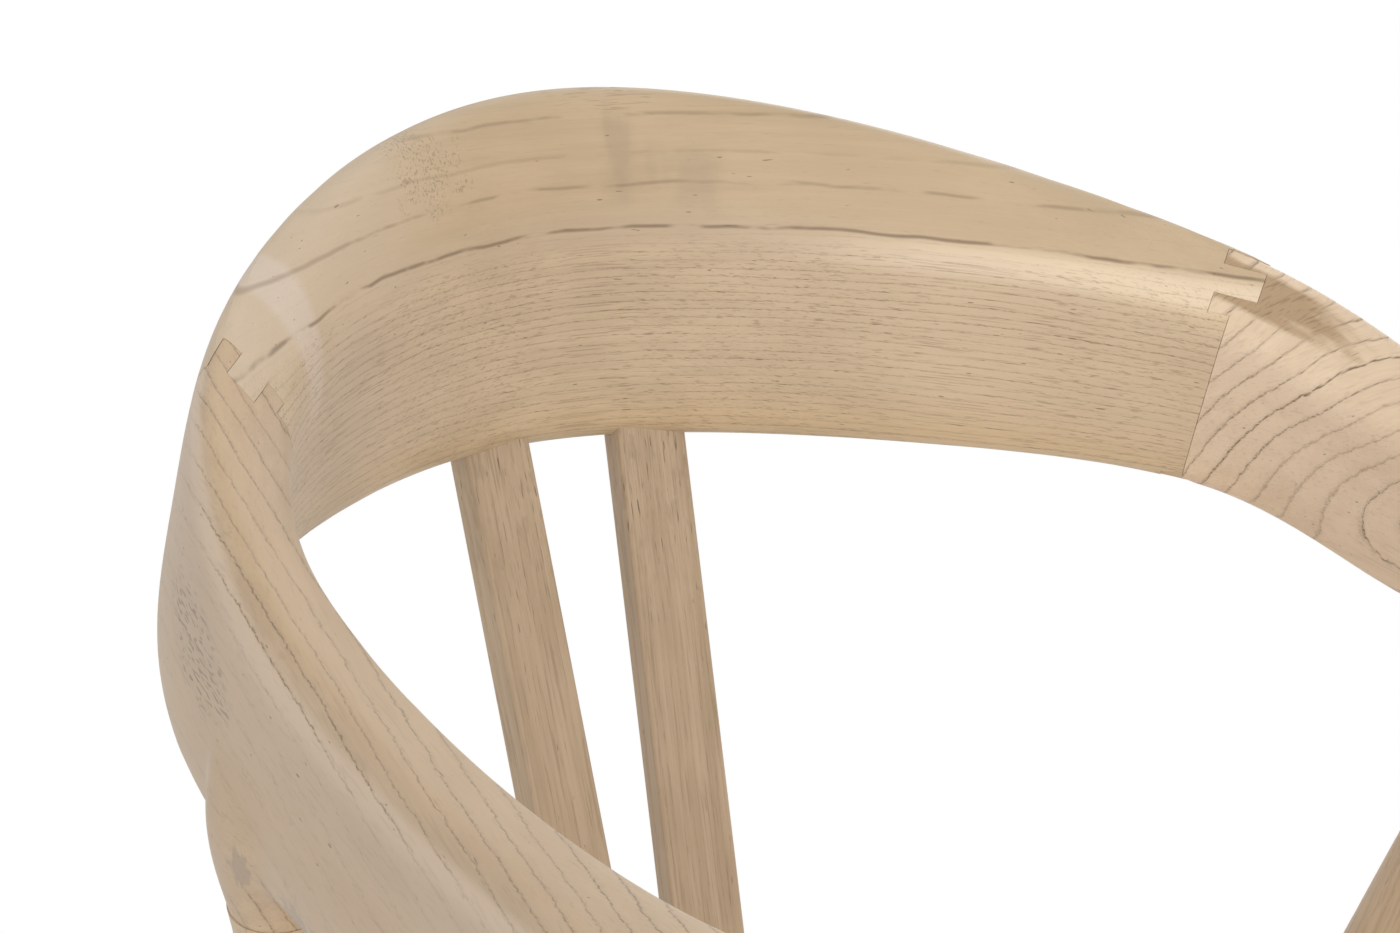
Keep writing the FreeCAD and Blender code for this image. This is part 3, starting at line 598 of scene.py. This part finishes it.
def wood(name, ways, seed, light, dark, ring_width=3.4, ring_strength=0.6, ring_share=0.12, waviness=0.5,
         wander=1.6, jitter=0.4, pore_strength=0.5, streak_strength=0.25, streak_size=(26, 1.1), patches=()):
    """Open-pored, ring-porous wood, bleached and left matte. Its three ways give, at a place, how far that
    lies along the fibres, across them and through the growth rings, in millimetres."""
    recipe = Recipe(name)
    place = recipe.place()
    run, side, through = [way(recipe, place) for way in ways]
    shift = seed * 17.3

    slow = recipe.noise(recipe.point(run / 140 + shift, side / 40, through / 40), 2.0)
    waves = recipe.noise(recipe.point(run / 17 + shift, side / 60, through / 14), 1.0)
    tremble = recipe.noise(recipe.point(run / 2.6 + shift, side / 5, through / 5), 1.0)
    offset = (slow - 0.5) * (2 * wander) + (waves - 0.5) * (2 * waviness) + (tremble - 0.5) * (2 * jitter)
    rings = (through + offset) / ring_width + shift
    phase = rings.math("FRACT")
    own = recipe.node("ShaderNodeTexWhiteNoise", {"noise_dimensions": "1D"}, {"W": rings.math("FLOOR")})
    line = recipe.rise(phase, ring_share, 0.0).math("MAXIMUM", recipe.rise(phase, 1 - ring_share * 0.4, 1.0))
    early = recipe.rise(phase, ring_share * 2.6, 0.0).math("MAXIMUM", recipe.rise(phase, 0.86, 1.0))

    dashes = recipe.noise(recipe.point(run / 2.4 + shift, side / 0.6, through / 0.6), 1.0)
    dashes = recipe.rise(dashes, 0.4, 0.6)
    pores = recipe.noise(recipe.point(run / 7 + shift, side / 0.42, through / 0.42), 0.0)
    pores = recipe.rise(pores, 0.68, 0.78) * (early * 0.8 + 0.2)
    fibres = recipe.noise(recipe.point(run / 45 + shift, side / 0.8, through / 0.8), 3.0, 0.6)
    length, width = streak_size
    streaks = recipe.noise(recipe.point(run / length + shift, side / width, through / width), 1.0)
    streaks = recipe.rise(streaks, 0.56, 0.72)
    tones = recipe.noise(recipe.point(run / 180 + shift, side / 5.0, through / 5.0), 2.0)
    clouds = recipe.noise(recipe.point(run / 60 + shift * 2, side / 34, through / 34), 2.0)
    flecks = recipe.noise(recipe.point(run / 6, side / 1.0, through / 1.0 + shift), 0.0)
    flecks = recipe.rise(flecks, 0.83, 0.87)

    grain = Grain(recipe, place, run, side, through)
    tone = recipe.rise(clouds * 0.4 + tones * 0.35 + fibres * 0.25, 0.36, 0.64)
    grain.shade = recipe.blend(tone, dark, light)
    grain.ring_mark = (line + 0.22 * early) * (0.3 + 0.7 * own) * (0.4 + 0.6 * dashes) * ring_strength
    grain.pore_mark = pores * pore_strength
    grain.streak_mark = streaks * streak_strength
    grain.relief = 0.2 * fibres
    for patch in patches:
        patch(grain)
    shade = recipe.blend(grain.ring_mark, grain.shade, RING_COLOUR)
    shade = recipe.blend(grain.streak_mark, shade, RING_COLOUR)
    shade = recipe.blend(grain.pore_mark.math("MINIMUM", 1.0), shade, PORE_COLOUR)
    shade = recipe.blend(flecks * 0.6, shade, PORE_COLOUR)
    recipe.into("Base Color", shade)
    recipe.into("Roughness", 0.46 + 0.14 * fibres)
    recipe.into("Specular IOR Level", 0.5)
    recipe.into("Sheen Weight", 0.12)
    recipe.into("Sheen Roughness", 0.4)
    height = grain.relief - grain.ring_mark * 0.5 - grain.pore_mark - grain.streak_mark * 0.8 - flecks * 0.5
    bump = recipe.node("ShaderNodeBump", {}, {"Strength": 0.4, "Distance": 0.0004, "Height": height},
                       output="Normal")
    recipe.into("Normal", bump)
    return recipe.material


def straight(way, origin=(0, 0, 0)):
    """A measure along a fixed way, from an origin in millimetres."""
    way = np.array(way, float) / np.linalg.norm(way)
    start = float(way @ np.array(origin, float))

    def measure(recipe, place):
        return recipe.along(place, way) - start
    return measure


def straight_ways(grain, through):
    """A straight board's three ways, from the ways of its fibres and through its rings."""
    grain = np.array(grain, float) / np.linalg.norm(grain)
    through = np.array(through, float)
    through = through - grain * (through @ grain)
    return straight(grain), straight(np.cross(grain, through)), straight(through)


def painted_edge_sheen(grain):
    """Painted sheen: pale violet grey where the crest's and the arms' edges turn away, standing in for the
    reflection of the white room at grazing angles.
    """
    along, out, up = grain.recipe.rail_measures()
    inner = grain.recipe.rise(out, -0.72, -1.0)
    outer = grain.recipe.rise(out, 0.7, 1.0) * grain.recipe.rise(up, -0.2, 0.8)
    grain.tint(inner * 0.25 + outer * 0.25, 192, 175, 162)


# The crest's middle lies this far behind the centre of its bow.
BOW_MIDDLE = 20.0
BOW_RADIUS = 235.0
GRAIN_FALL = 12.0
# Above this height the growth rings lie far apart, at the heights given here.
RIDGE_HEIGHT = 750.0
UPPER_RINGS = ((750.0, 0.8), (765.5, 0.45), (777.0, 0.2), (790.5, 0.4))


def round_the_back(recipe, place):
    """Millimetres along the crest's curve, from its middle."""
    x, y = recipe.parts(place)[:2]
    return x.math("ARCTAN2", y - BOW_MIDDLE) * BOW_RADIUS


def out_of_the_bow(recipe, place):
    """Millimetres from the centre of the crest's bow."""
    x, y = recipe.parts(place)[:2]
    return (x * x + (y - BOW_MIDDLE) * (y - BOW_MIDDLE)).math("SQRT")


def grain_height(recipe, place):
    """Height, measured from a line that falls towards the crest's ends as its grain does."""
    x, y, z = recipe.parts(place)
    turn = x.math("ARCTAN2", y - BOW_MIDDLE)
    return z + turn * turn * GRAIN_FALL


# Grey bands on the crest's upper zone: where each starts and ends along the crest and in height
GREY_BANDS = ((8, 19, 762, 790, 0.4), (23, 31, 764, 780, 0.25), (36, 56, 758, 777, 0.3))


def crest_zones(grain):
    """The crest's smooth upper zone with its grey bands and rough patch, and its streaky lower zone, with
    painted
    light and shade over them: a darker upper zone, a duller left end, lighter upper left and right ends, a
    painted highlight under the ridge at the right and a painted sheen at the left turn.
    """
    recipe = grain.recipe
    height = grain_height(recipe, grain.place)
    wobble = recipe.noise(recipe.point(grain.run / 40, height / 12, 3.1), 2.0)
    upper = recipe.rise(height + (wobble - 0.5) * 14.0, RIDGE_HEIGHT - 14.0, RIDGE_HEIGHT + 2.0)
    lower = 1.0 - upper
    grain.streak_mark = grain.streak_mark * (0.12 + 0.88 * lower)
    grain.pore_mark = grain.pore_mark * (0.25 + 0.75 * lower)
    grain.ring_mark = grain.ring_mark * (0.1 + 0.9 * lower)
    broken = recipe.rise(recipe.noise(recipe.point(grain.run / 22, height / 6, 7.7), 2.0), 0.34, 0.56)
    sway = (recipe.noise(recipe.point(grain.run / 45, height / 30, 1.3), 2.0) - 0.5) * 4.0
    for level, strength in UPPER_RINGS:
        off = (height + sway - level).math("ABSOLUTE")
        grain.ring_mark = grain.ring_mark + recipe.rise(off, 1.1, 0.1) * broken * strength
    # Darker upper zone: partly its own tone, partly painted shade on the rolled-back top that faces up.
    grain.tint(upper * 0.5, 186, 161, 130)
    # Painted shade: the lower zone greyer and duller towards the left end, which turns away from the lamp.
    grain.tint(lower * recipe.rise(grain.run, -60.0, -190.0) * 0.35, 186, 168, 144)
    # Painted light: the upper zone lighter towards the left end.
    grain.tint(upper * recipe.rise(grain.run, -60.0, -150.0) * 0.5, 208, 188, 163)
    # Painted light: paler towards the right end, which faces the lamp.
    grain.tint(recipe.rise(grain.run, 40.0, 170.0) * (0.2 + 0.4 * lower), 222, 197, 162)
    # Painted highlight: a pale strip just under the ridge at the right end.
    painted_highlight_under_ridge = recipe.rise((height - RIDGE_HEIGHT + 7.0).math("ABSOLUTE"), 9.0, 2.0)
    grain.tint(painted_highlight_under_ridge * recipe.rise(grain.run, 60.0, 180.0) * 0.6, 250, 228, 200)
    for start, end, low, high, strength in GREY_BANDS:
        edge = (recipe.noise(recipe.point(grain.run / 7, height / 12, start), 3.0) - 0.5) * 12.0
        across = recipe.rise(grain.run + edge, start - 5.0, start + 5.0)
        across = across * recipe.rise(grain.run + edge, end + 5.0, end - 5.0)
        within = recipe.rise(height - edge, low - 7.0, low + 6.0)
        within = within * recipe.rise(height - edge, high + 7.0, high - 6.0)
        grain.tint(across * within * strength, 158, 138, 116)
    top_dashes = recipe.noise(recipe.point(grain.run / 11, grain.side / 3, height / 0.6), 1.0)
    top_dashes = recipe.rise(top_dashes, 0.56, 0.68) * oval((grain.run, height), (8, 796), (34, 6), 0.5)
    grain.tint(top_dashes * 0.4, 140, 122, 102)
    rough = oval((grain.run, height), (-92, 779), (30, 16), 1.6)
    pits = recipe.noise(recipe.point(grain.run / 1.1, grain.side / 1.1, height / 1.1), 1.0)
    pits = recipe.rise(pits, 0.54, 0.66) * rough
    grain.tint(pits * 0.55, 148, 126, 98)
    grain.relief = grain.relief - pits * 0.7
    # Painted sheen: a pale violet grey band down the crest's left turn, where it catches light from behind at
    # a grazing angle.
    turn = oval((grain.run, height), (-221, 766), (17, 60), 0.3)
    grain.tint(turn * 0.45, 216, 199, 186)


crest_wood = wood("bleached crest", (round_the_back, out_of_the_bow, grain_height), 1.0,
                  colour(207, 182, 147), colour(189, 165, 131), ring_width=3.2, ring_strength=0.5,
                  ring_share=0.16, waviness=0.3, wander=2.2, jitter=0.2, pore_strength=0.5,
                  streak_strength=0.36, streak_size=(48, 0.6), patches=(crest_zones, painted_edge_sheen))

# The right arm's rings lie round this line under it, so that they run out in arches over its inner face
# and its top.
PITH_PLACE = (229, 27, 656)
PITH_WAY = (-0.243, -0.968, 0.059)


def from_the_pith(recipe, place):
    """Millimetres from the line that the right arm's growth rings lie round."""
    offset = recipe.node("ShaderNodeVectorMath", {"operation": "SUBTRACT"},
                         {0: place, 1: [part * MM for part in PITH_PLACE]})
    across = recipe.node("ShaderNodeVectorMath", {"operation": "CROSS_PRODUCT"}, {0: offset, 1: PITH_WAY})
    return recipe.node("ShaderNodeVectorMath", {"operation": "LENGTH"}, {0: across}, output="Value") / MM


def brown_band(grain):
    """A rough brown stretch on the right arm's top, next to the comb joint."""
    recipe = grain.recipe
    band = oval(recipe.rail_measures(), (250, 0.0, 0.75), (50, 0.55, 0.5), 0.8)
    grain.tint(band * 0.85, 170, 140, 104)
    torn = recipe.noise(recipe.point(grain.run / 3, grain.side / 0.8, grain.through / 0.8), 2.0)
    torn = recipe.rise(torn, 0.52, 0.68) * band
    grain.tint(torn * 0.55, 136, 112, 82)
    grain.relief = grain.relief - torn * 0.4
    grain.ring_mark = grain.ring_mark * (1.0 - 0.8 * band)


ARM_GRAIN = (0.22, -0.95, -0.18)
right_grain = straight_ways(ARM_GRAIN, (0.82, 0.28, 0.51))
# Lighter than the left arm, though both arms are one wood: painted light on this arm.
right_arm_wood = wood("bleached right arm", (right_grain[0], right_grain[1], from_the_pith), 2.0,
                      colour(232, 208, 179), colour(219, 193, 163), ring_width=6.6, ring_strength=1.0,
                      ring_share=0.12, waviness=0.7, wander=1.0, jitter=0.7, pore_strength=0.3,
                      streak_strength=0.12, patches=(brown_band, painted_edge_sheen))


LEFT_GRAIN = (-0.22, -0.95, -0.18)
# Through the left arm's rings, which lie almost flat in its outer face and run out along its top
LEFT_RINGS = (0.82, -0.28, 0.51)


def left_arm_zones(grain):
    """The left arm's warm top with a painted highlight along its outer ridge, its plain outer face painted
    darker and greyer as shade and grazing sheen, with a patch of open pores, and the smudges on its haunch."""
    recipe = grain.recipe
    along, out, up = recipe.rail_measures()
    top = recipe.rise(up, 0.45, 0.8) * recipe.rise(out, 0.8, 0.45)
    grain.tint(top * 0.5, 192, 160, 119)
    # The outer face: painted darker and greyer as shade and grazing sheen, and with its rings faint, as they
    # lie flat in it.
    face = recipe.rise(out, 0.78, 0.95)
    grain.tint(face * 0.6, 192, 168, 141)
    grain.ring_mark = grain.ring_mark * (1.0 - 0.85 * face)
    # Painted highlight: a pale line along the outer top ridge.
    ridge = recipe.rise((out - 0.86).math("ABSOLUTE"), 0.12, 0.02) * recipe.rise(up, 0.3, 0.7)
    grain.tint(ridge * 0.5, 222, 200, 176)
    patch = oval((along, out, up), (-347, 0.97, 0.12), (46, 0.6, 0.34), 0.7)
    open_pores = recipe.noise(recipe.point(grain.run / 5, grain.side / 0.55, grain.through / 1.2), 0.0)
    open_pores = recipe.rise(open_pores, 0.56, 0.68) * patch
    grain.tint(patch * 0.2, 168, 150, 126)
    grain.pore_mark = grain.pore_mark + open_pores * 0.5
    leg_top, rise = post_frame(-1)[:2]
    height = straight(rise, leg_top)(recipe, grain.place)
    across = straight((0.92, -0.38, 0.1), leg_top)(recipe, grain.place)
    smudges = oval((height, across), (22, -2), (15, 3.4), 1.4).math(
        "MAXIMUM", oval((height, across), (24, -14), (8, 3.2), 1.4))
    grain.tint(smudges * 0.5, 150, 134, 122)


left_arm_wood = wood("bleached left arm", straight_ways(LEFT_GRAIN, LEFT_RINGS), 3.0,
                     colour(198, 173, 143), colour(182, 157, 128), ring_width=5.6, ring_strength=0.9,
                     ring_share=0.11, waviness=0.8, wander=1.2, jitter=0.6, pore_strength=0.3,
                     streak_strength=0.12, patches=(left_arm_zones, painted_edge_sheen))

LIGHT_WOOD = colour(203, 179, 149)
DARK_WOOD = colour(187, 162, 133)

# The back slats, from the seat panel up into the crest
SLAT_FOOT = (22.3, 170, 432)
SLAT_HEAD_PLACE = 0.0476
SLAT_HEAD_FORWARD = 2.5
SLAT_TURN = math.radians(5.0)


def slat_head(side):
    """Where a slat's centre line meets the crest's underside."""
    centre, outward, upward = rail_axes(side * SLAT_HEAD_PLACE)
    return centre - upward * rail.at(side * SLAT_HEAD_PLACE)[4] / 2 - (0, SLAT_HEAD_FORWARD, 0)


def slat_wood(name, side, seed):
    """A slat's grain follows its own rise, with its pores dark near the head."""
    rise = slat_head(side) - np.array(SLAT_FOOT) * (side, 1, 1)
    front = (-side * math.sin(SLAT_TURN), -math.cos(SLAT_TURN), 0)

    # Darker blotches and darker pores towards the head, just under the crest.
    def darker_towards_head(grain):
        recipe = grain.recipe
        height = recipe.parts(grain.place)[2]
        near_head = recipe.rise(height, 590.0, 668.0)
        blotches = recipe.noise(recipe.point(grain.run / 10, grain.side / 3, grain.through / 3), 2.0)
        grain.tint(near_head * recipe.rise(blotches, 0.5, 0.68) * 0.35, 140, 120, 96)
        grain.pore_mark = grain.pore_mark * (0.5 + 1.2 * near_head)

    return wood(name, straight_ways(rise, np.cross(rise, front) + np.array(front) * 120), seed,
                colour(189, 165, 137), colour(170, 146, 118), ring_width=2.4, ring_strength=0.3,
                ring_share=0.2, waviness=0.3, jitter=0.2, pore_strength=0.7, streak_strength=0.35,
                patches=(darker_towards_head,))


slat_woods = [slat_wood("bleached slat left", -1, 4.0), slat_wood("bleached slat right", 1, 5.0)]


def leg_wood(name, seed, lean):
    """Wood whose fibres run up a leg."""
    return wood(name, straight_ways(lean, (0.3, -1, 0)), seed, LIGHT_WOOD, DARK_WOOD, ring_width=4.0,
                ring_strength=0.4)


# Fibre ways of the rear legs, as they rise to the arms, and of the front legs
leg_woods = [leg_wood(f"bleached leg {index}", 6.0 + index, lean)
             for index, lean in enumerate(((-0.2, -0.3, 1), (0.2, -0.3, 1), (0, 0, 1), (0, 0, 1)))]
across_wood = wood("bleached crosswise rail", straight_ways((1, 0, 0), (0, 0.3, 1)), 11.0,
                   LIGHT_WOOD, DARK_WOOD, ring_strength=0.4)
lengthwise_wood = wood("bleached lengthwise rail", straight_ways((0, 1, 0), (0.3, 0, 1)), 12.0,
                       LIGHT_WOOD, DARK_WOOD, ring_strength=0.4)
panel_wood = wood("bleached seat panel", straight_ways((0, 1, 0), (0.25, 0, 1)), 13.0,
                  LIGHT_WOOD, DARK_WOOD, ring_strength=0.4, wander=3.0)
inner_wood = wood("raw inner wood", straight_ways((1, 1, 0), (0, 0, 1)), 14.0,
                  colour(210, 188, 158), colour(192, 168, 138), ring_strength=0.3)


def screw_steel():
    """Zinc plated steel with fine turning scratches."""
    recipe = Recipe("zinc plated screw")
    place = recipe.place()
    x, y, z = recipe.parts(place)
    scratches = recipe.noise(recipe.point(x / 0.2, y / 2.0, z / 2.0), 2.0)
    recipe.into("Base Color", recipe.blend(scratches, colour(170, 168, 160), colour(205, 203, 196)))
    recipe.into("Metallic", 1.0)
    recipe.into("Roughness", 0.25 + 0.25 * scratches)
    bump = recipe.node("ShaderNodeBump", {}, {"Strength": 0.1, "Distance": 0.0001, "Height": scratches},
                       output="Normal")
    recipe.into("Normal", bump)
    return recipe.material


def glide_plastic():
    """Dark moulded plastic, scuffed by the floor."""
    recipe = Recipe("moulded glide")
    place = recipe.place()
    x, y, z = recipe.parts(place)
    texture = recipe.noise(recipe.point(x / 0.5, y / 0.5, z / 0.5), 2.0)
    scuffs = recipe.rise(recipe.noise(recipe.point(x / 3, y / 1.2, z / 3), 2.0), 0.5, 0.7)
    recipe.into("Base Color", recipe.blend(scuffs * 0.5, colour(58, 54, 50), colour(98, 92, 86)))
    recipe.into("Roughness", 0.55 + 0.2 * texture)
    bump = recipe.node("ShaderNodeBump", {}, {"Strength": 0.3, "Distance": 0.0002, "Height": texture},
                       output="Normal")
    recipe.into("Normal", bump)
    return recipe.material


steel = screw_steel()
plastic = glide_plastic()

# Crest and arms, drawn finer than the solids and flowing into their haunches
for piece, name, material, slot in (
        (make_crest("shaped_crest_rail"), "crest_rail", crest_wood, "crest_wood"),
        (make_arm(-1, "shaped_arm_left"), "arm_left", left_arm_wood, "arm_wood"),
        (make_arm(1, "shaped_arm_right"), "arm_right", right_arm_wood, "arm_wood")):
    piece.data.materials.clear()
    piece.data.materials.append(material)
    mark_rail_measures(piece.data)
    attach(piece, "root")
    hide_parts(name)


def dress(name, material):
    """Gives one of the chair's solids its finish."""
    for slot in nodes[name].material_slots:
        slot.link = "OBJECT"
        slot.material = material


dress("back_slat_left", slat_woods[0])
dress("back_slat_right", slat_woods[1])
for index, name in enumerate(("rear_leg_left", "rear_leg_right", "front_leg_left", "front_leg_right")):
    dress(name, leg_woods[index])
for name in ("seat_rail_front", "seat_rail_rear", "stretcher_front", "stretcher_rear"):
    dress(name, across_wood)
for name in ("seat_rail_left", "seat_rail_right", "stretcher_left", "stretcher_right"):
    dress(name, lengthwise_wood)
dress("seat_panel", panel_wood)
for name in nodes:
    if name.startswith(("corner_block_front", "corner_block_rear", "panel_batten", "arm_dowel")):
        dress(name, inner_wood)
    elif name.endswith("screws"):
        dress(name, steel)
    elif name.startswith("glide"):
        dress(name, plastic)

# Camera, as the photograph saw the chair
CAMERA_PLACE = (-714.4, -934.8, 933.3)
CAMERA_TURN = math.radians(33.22)
CAMERA_PITCH = math.radians(11.18)
CAMERA_ROLL = math.radians(0.52)
LONG_SIDE = 1400
FOCAL_PIXELS = 3827
SENSOR = 36.0
level_ahead = Vector((math.sin(CAMERA_TURN), math.cos(CAMERA_TURN), 0))
forward = level_ahead * math.cos(CAMERA_PITCH) - Vector((0, 0, math.sin(CAMERA_PITCH)))
level = Vector((math.cos(CAMERA_TURN), -math.sin(CAMERA_TURN), 0))
upright = level.cross(forward)
rolled_right = level * math.cos(CAMERA_ROLL) + upright * math.sin(CAMERA_ROLL)
rolled_up = upright * math.cos(CAMERA_ROLL) - level * math.sin(CAMERA_ROLL)
camera_data = bpy.data.cameras.new("Camera")
camera_data.sensor_width = SENSOR
camera_data.lens = FOCAL_PIXELS * SENSOR / LONG_SIDE
camera = bpy.data.objects.new("Camera", camera_data)
scene.collection.objects.link(camera)
turn = Matrix((rolled_right, rolled_up, -forward)).transposed().to_4x4()
camera.matrix_world = Matrix.Translation(Vector(CAMERA_PLACE) * MM) @ turn
scene.camera = camera

# Floor, white to the camera away from the chair and keeping the chair's shadow under it. It starts to
# turn white at the first distance, in millimetres, and is wholly white from the second.
SHADOW_REACH = 700.0
WHITE_REACH = 1500.0
floor_recipe = Recipe("pale floor")
floor_place = floor_recipe.place()
floor_x, floor_y = floor_recipe.parts(floor_place)[:2]
distance = (floor_x * floor_x + floor_y * floor_y).math("SQRT")
floor_recipe.into("Base Color", colour(238, 237, 235))
floor_recipe.into("Roughness", 0.8)
path = floor_recipe.node("ShaderNodeLightPath").socket.node
seen = Wire(floor_recipe, path.outputs["Is Camera Ray"]).math(
    "MAXIMUM", Wire(floor_recipe, path.outputs["Is Glossy Ray"])).math(
    "MAXIMUM", Wire(floor_recipe, path.outputs["Is Transmission Ray"]))
white = floor_recipe.node("ShaderNodeEmission", {}, {"Color": (1, 1, 1, 1), "Strength": 1.0})
away = floor_recipe.rise(distance, SHADOW_REACH, WHITE_REACH)
mixed = floor_recipe.node("ShaderNodeMixShader", {}, {0: seen * away, 1: floor_recipe.shader, 2: white})
output = next(item for item in floor_recipe.tree.nodes if item.type == "OUTPUT_MATERIAL")
floor_recipe.tree.links.new(mixed.socket, output.inputs["Surface"])
floor_mesh = bpy.data.meshes.new("floor")
FLOOR_REACH = 30.0
floor_mesh.from_pydata([(-FLOOR_REACH, -FLOOR_REACH, 0), (FLOOR_REACH, -FLOOR_REACH, 0),
                        (FLOOR_REACH, FLOOR_REACH, 0), (-FLOOR_REACH, FLOOR_REACH, 0)], [], [(0, 1, 2, 3)])
floor = new_object("floor", floor_mesh)
floor.data.materials.append(floor_recipe.material)

# Plain soft studio light
world = bpy.data.worlds.new("studio")
scene.world = world
world.use_nodes = True
world_tree = world.node_tree
background = next(item for item in world_tree.nodes if item.type == "BACKGROUND")
world_path = world_tree.nodes.new("ShaderNodeLightPath")
ROOM_LIGHT = 0.82
strength = world_tree.nodes.new("ShaderNodeMapRange")
strength.inputs["To Min"].default_value = ROOM_LIGHT
strength.inputs["To Max"].default_value = 1.0
world_tree.links.new(world_path.outputs["Is Camera Ray"], strength.inputs["Value"])
world_tree.links.new(strength.outputs[0], background.inputs["Strength"])
background.inputs["Color"].default_value = (1, 1, 1, 1)


def softbox(name, place, target, width, power):
    """A square lamp that faces a target, its sizes in metres and its power in watts."""
    data = bpy.data.lights.new(name, "AREA")
    data.size = width
    data.energy = power
    lamp = bpy.data.objects.new(name, data)
    lamp.location = place
    lamp.rotation_euler = (Vector(target) - Vector(place)).to_track_quat("-Z", "Y").to_euler()
    scene.collection.objects.link(lamp)


SEAT_BACK = (0.0, 0.1, 0.65)
softbox("key", (-0.9, -3.0, 0.9), SEAT_BACK, 1.8, 34.0)
softbox("behind", (1.8, 1.6, 1.8), SEAT_BACK, 1.6, 12.0)

scene.view_settings.view_transform = "Standard"
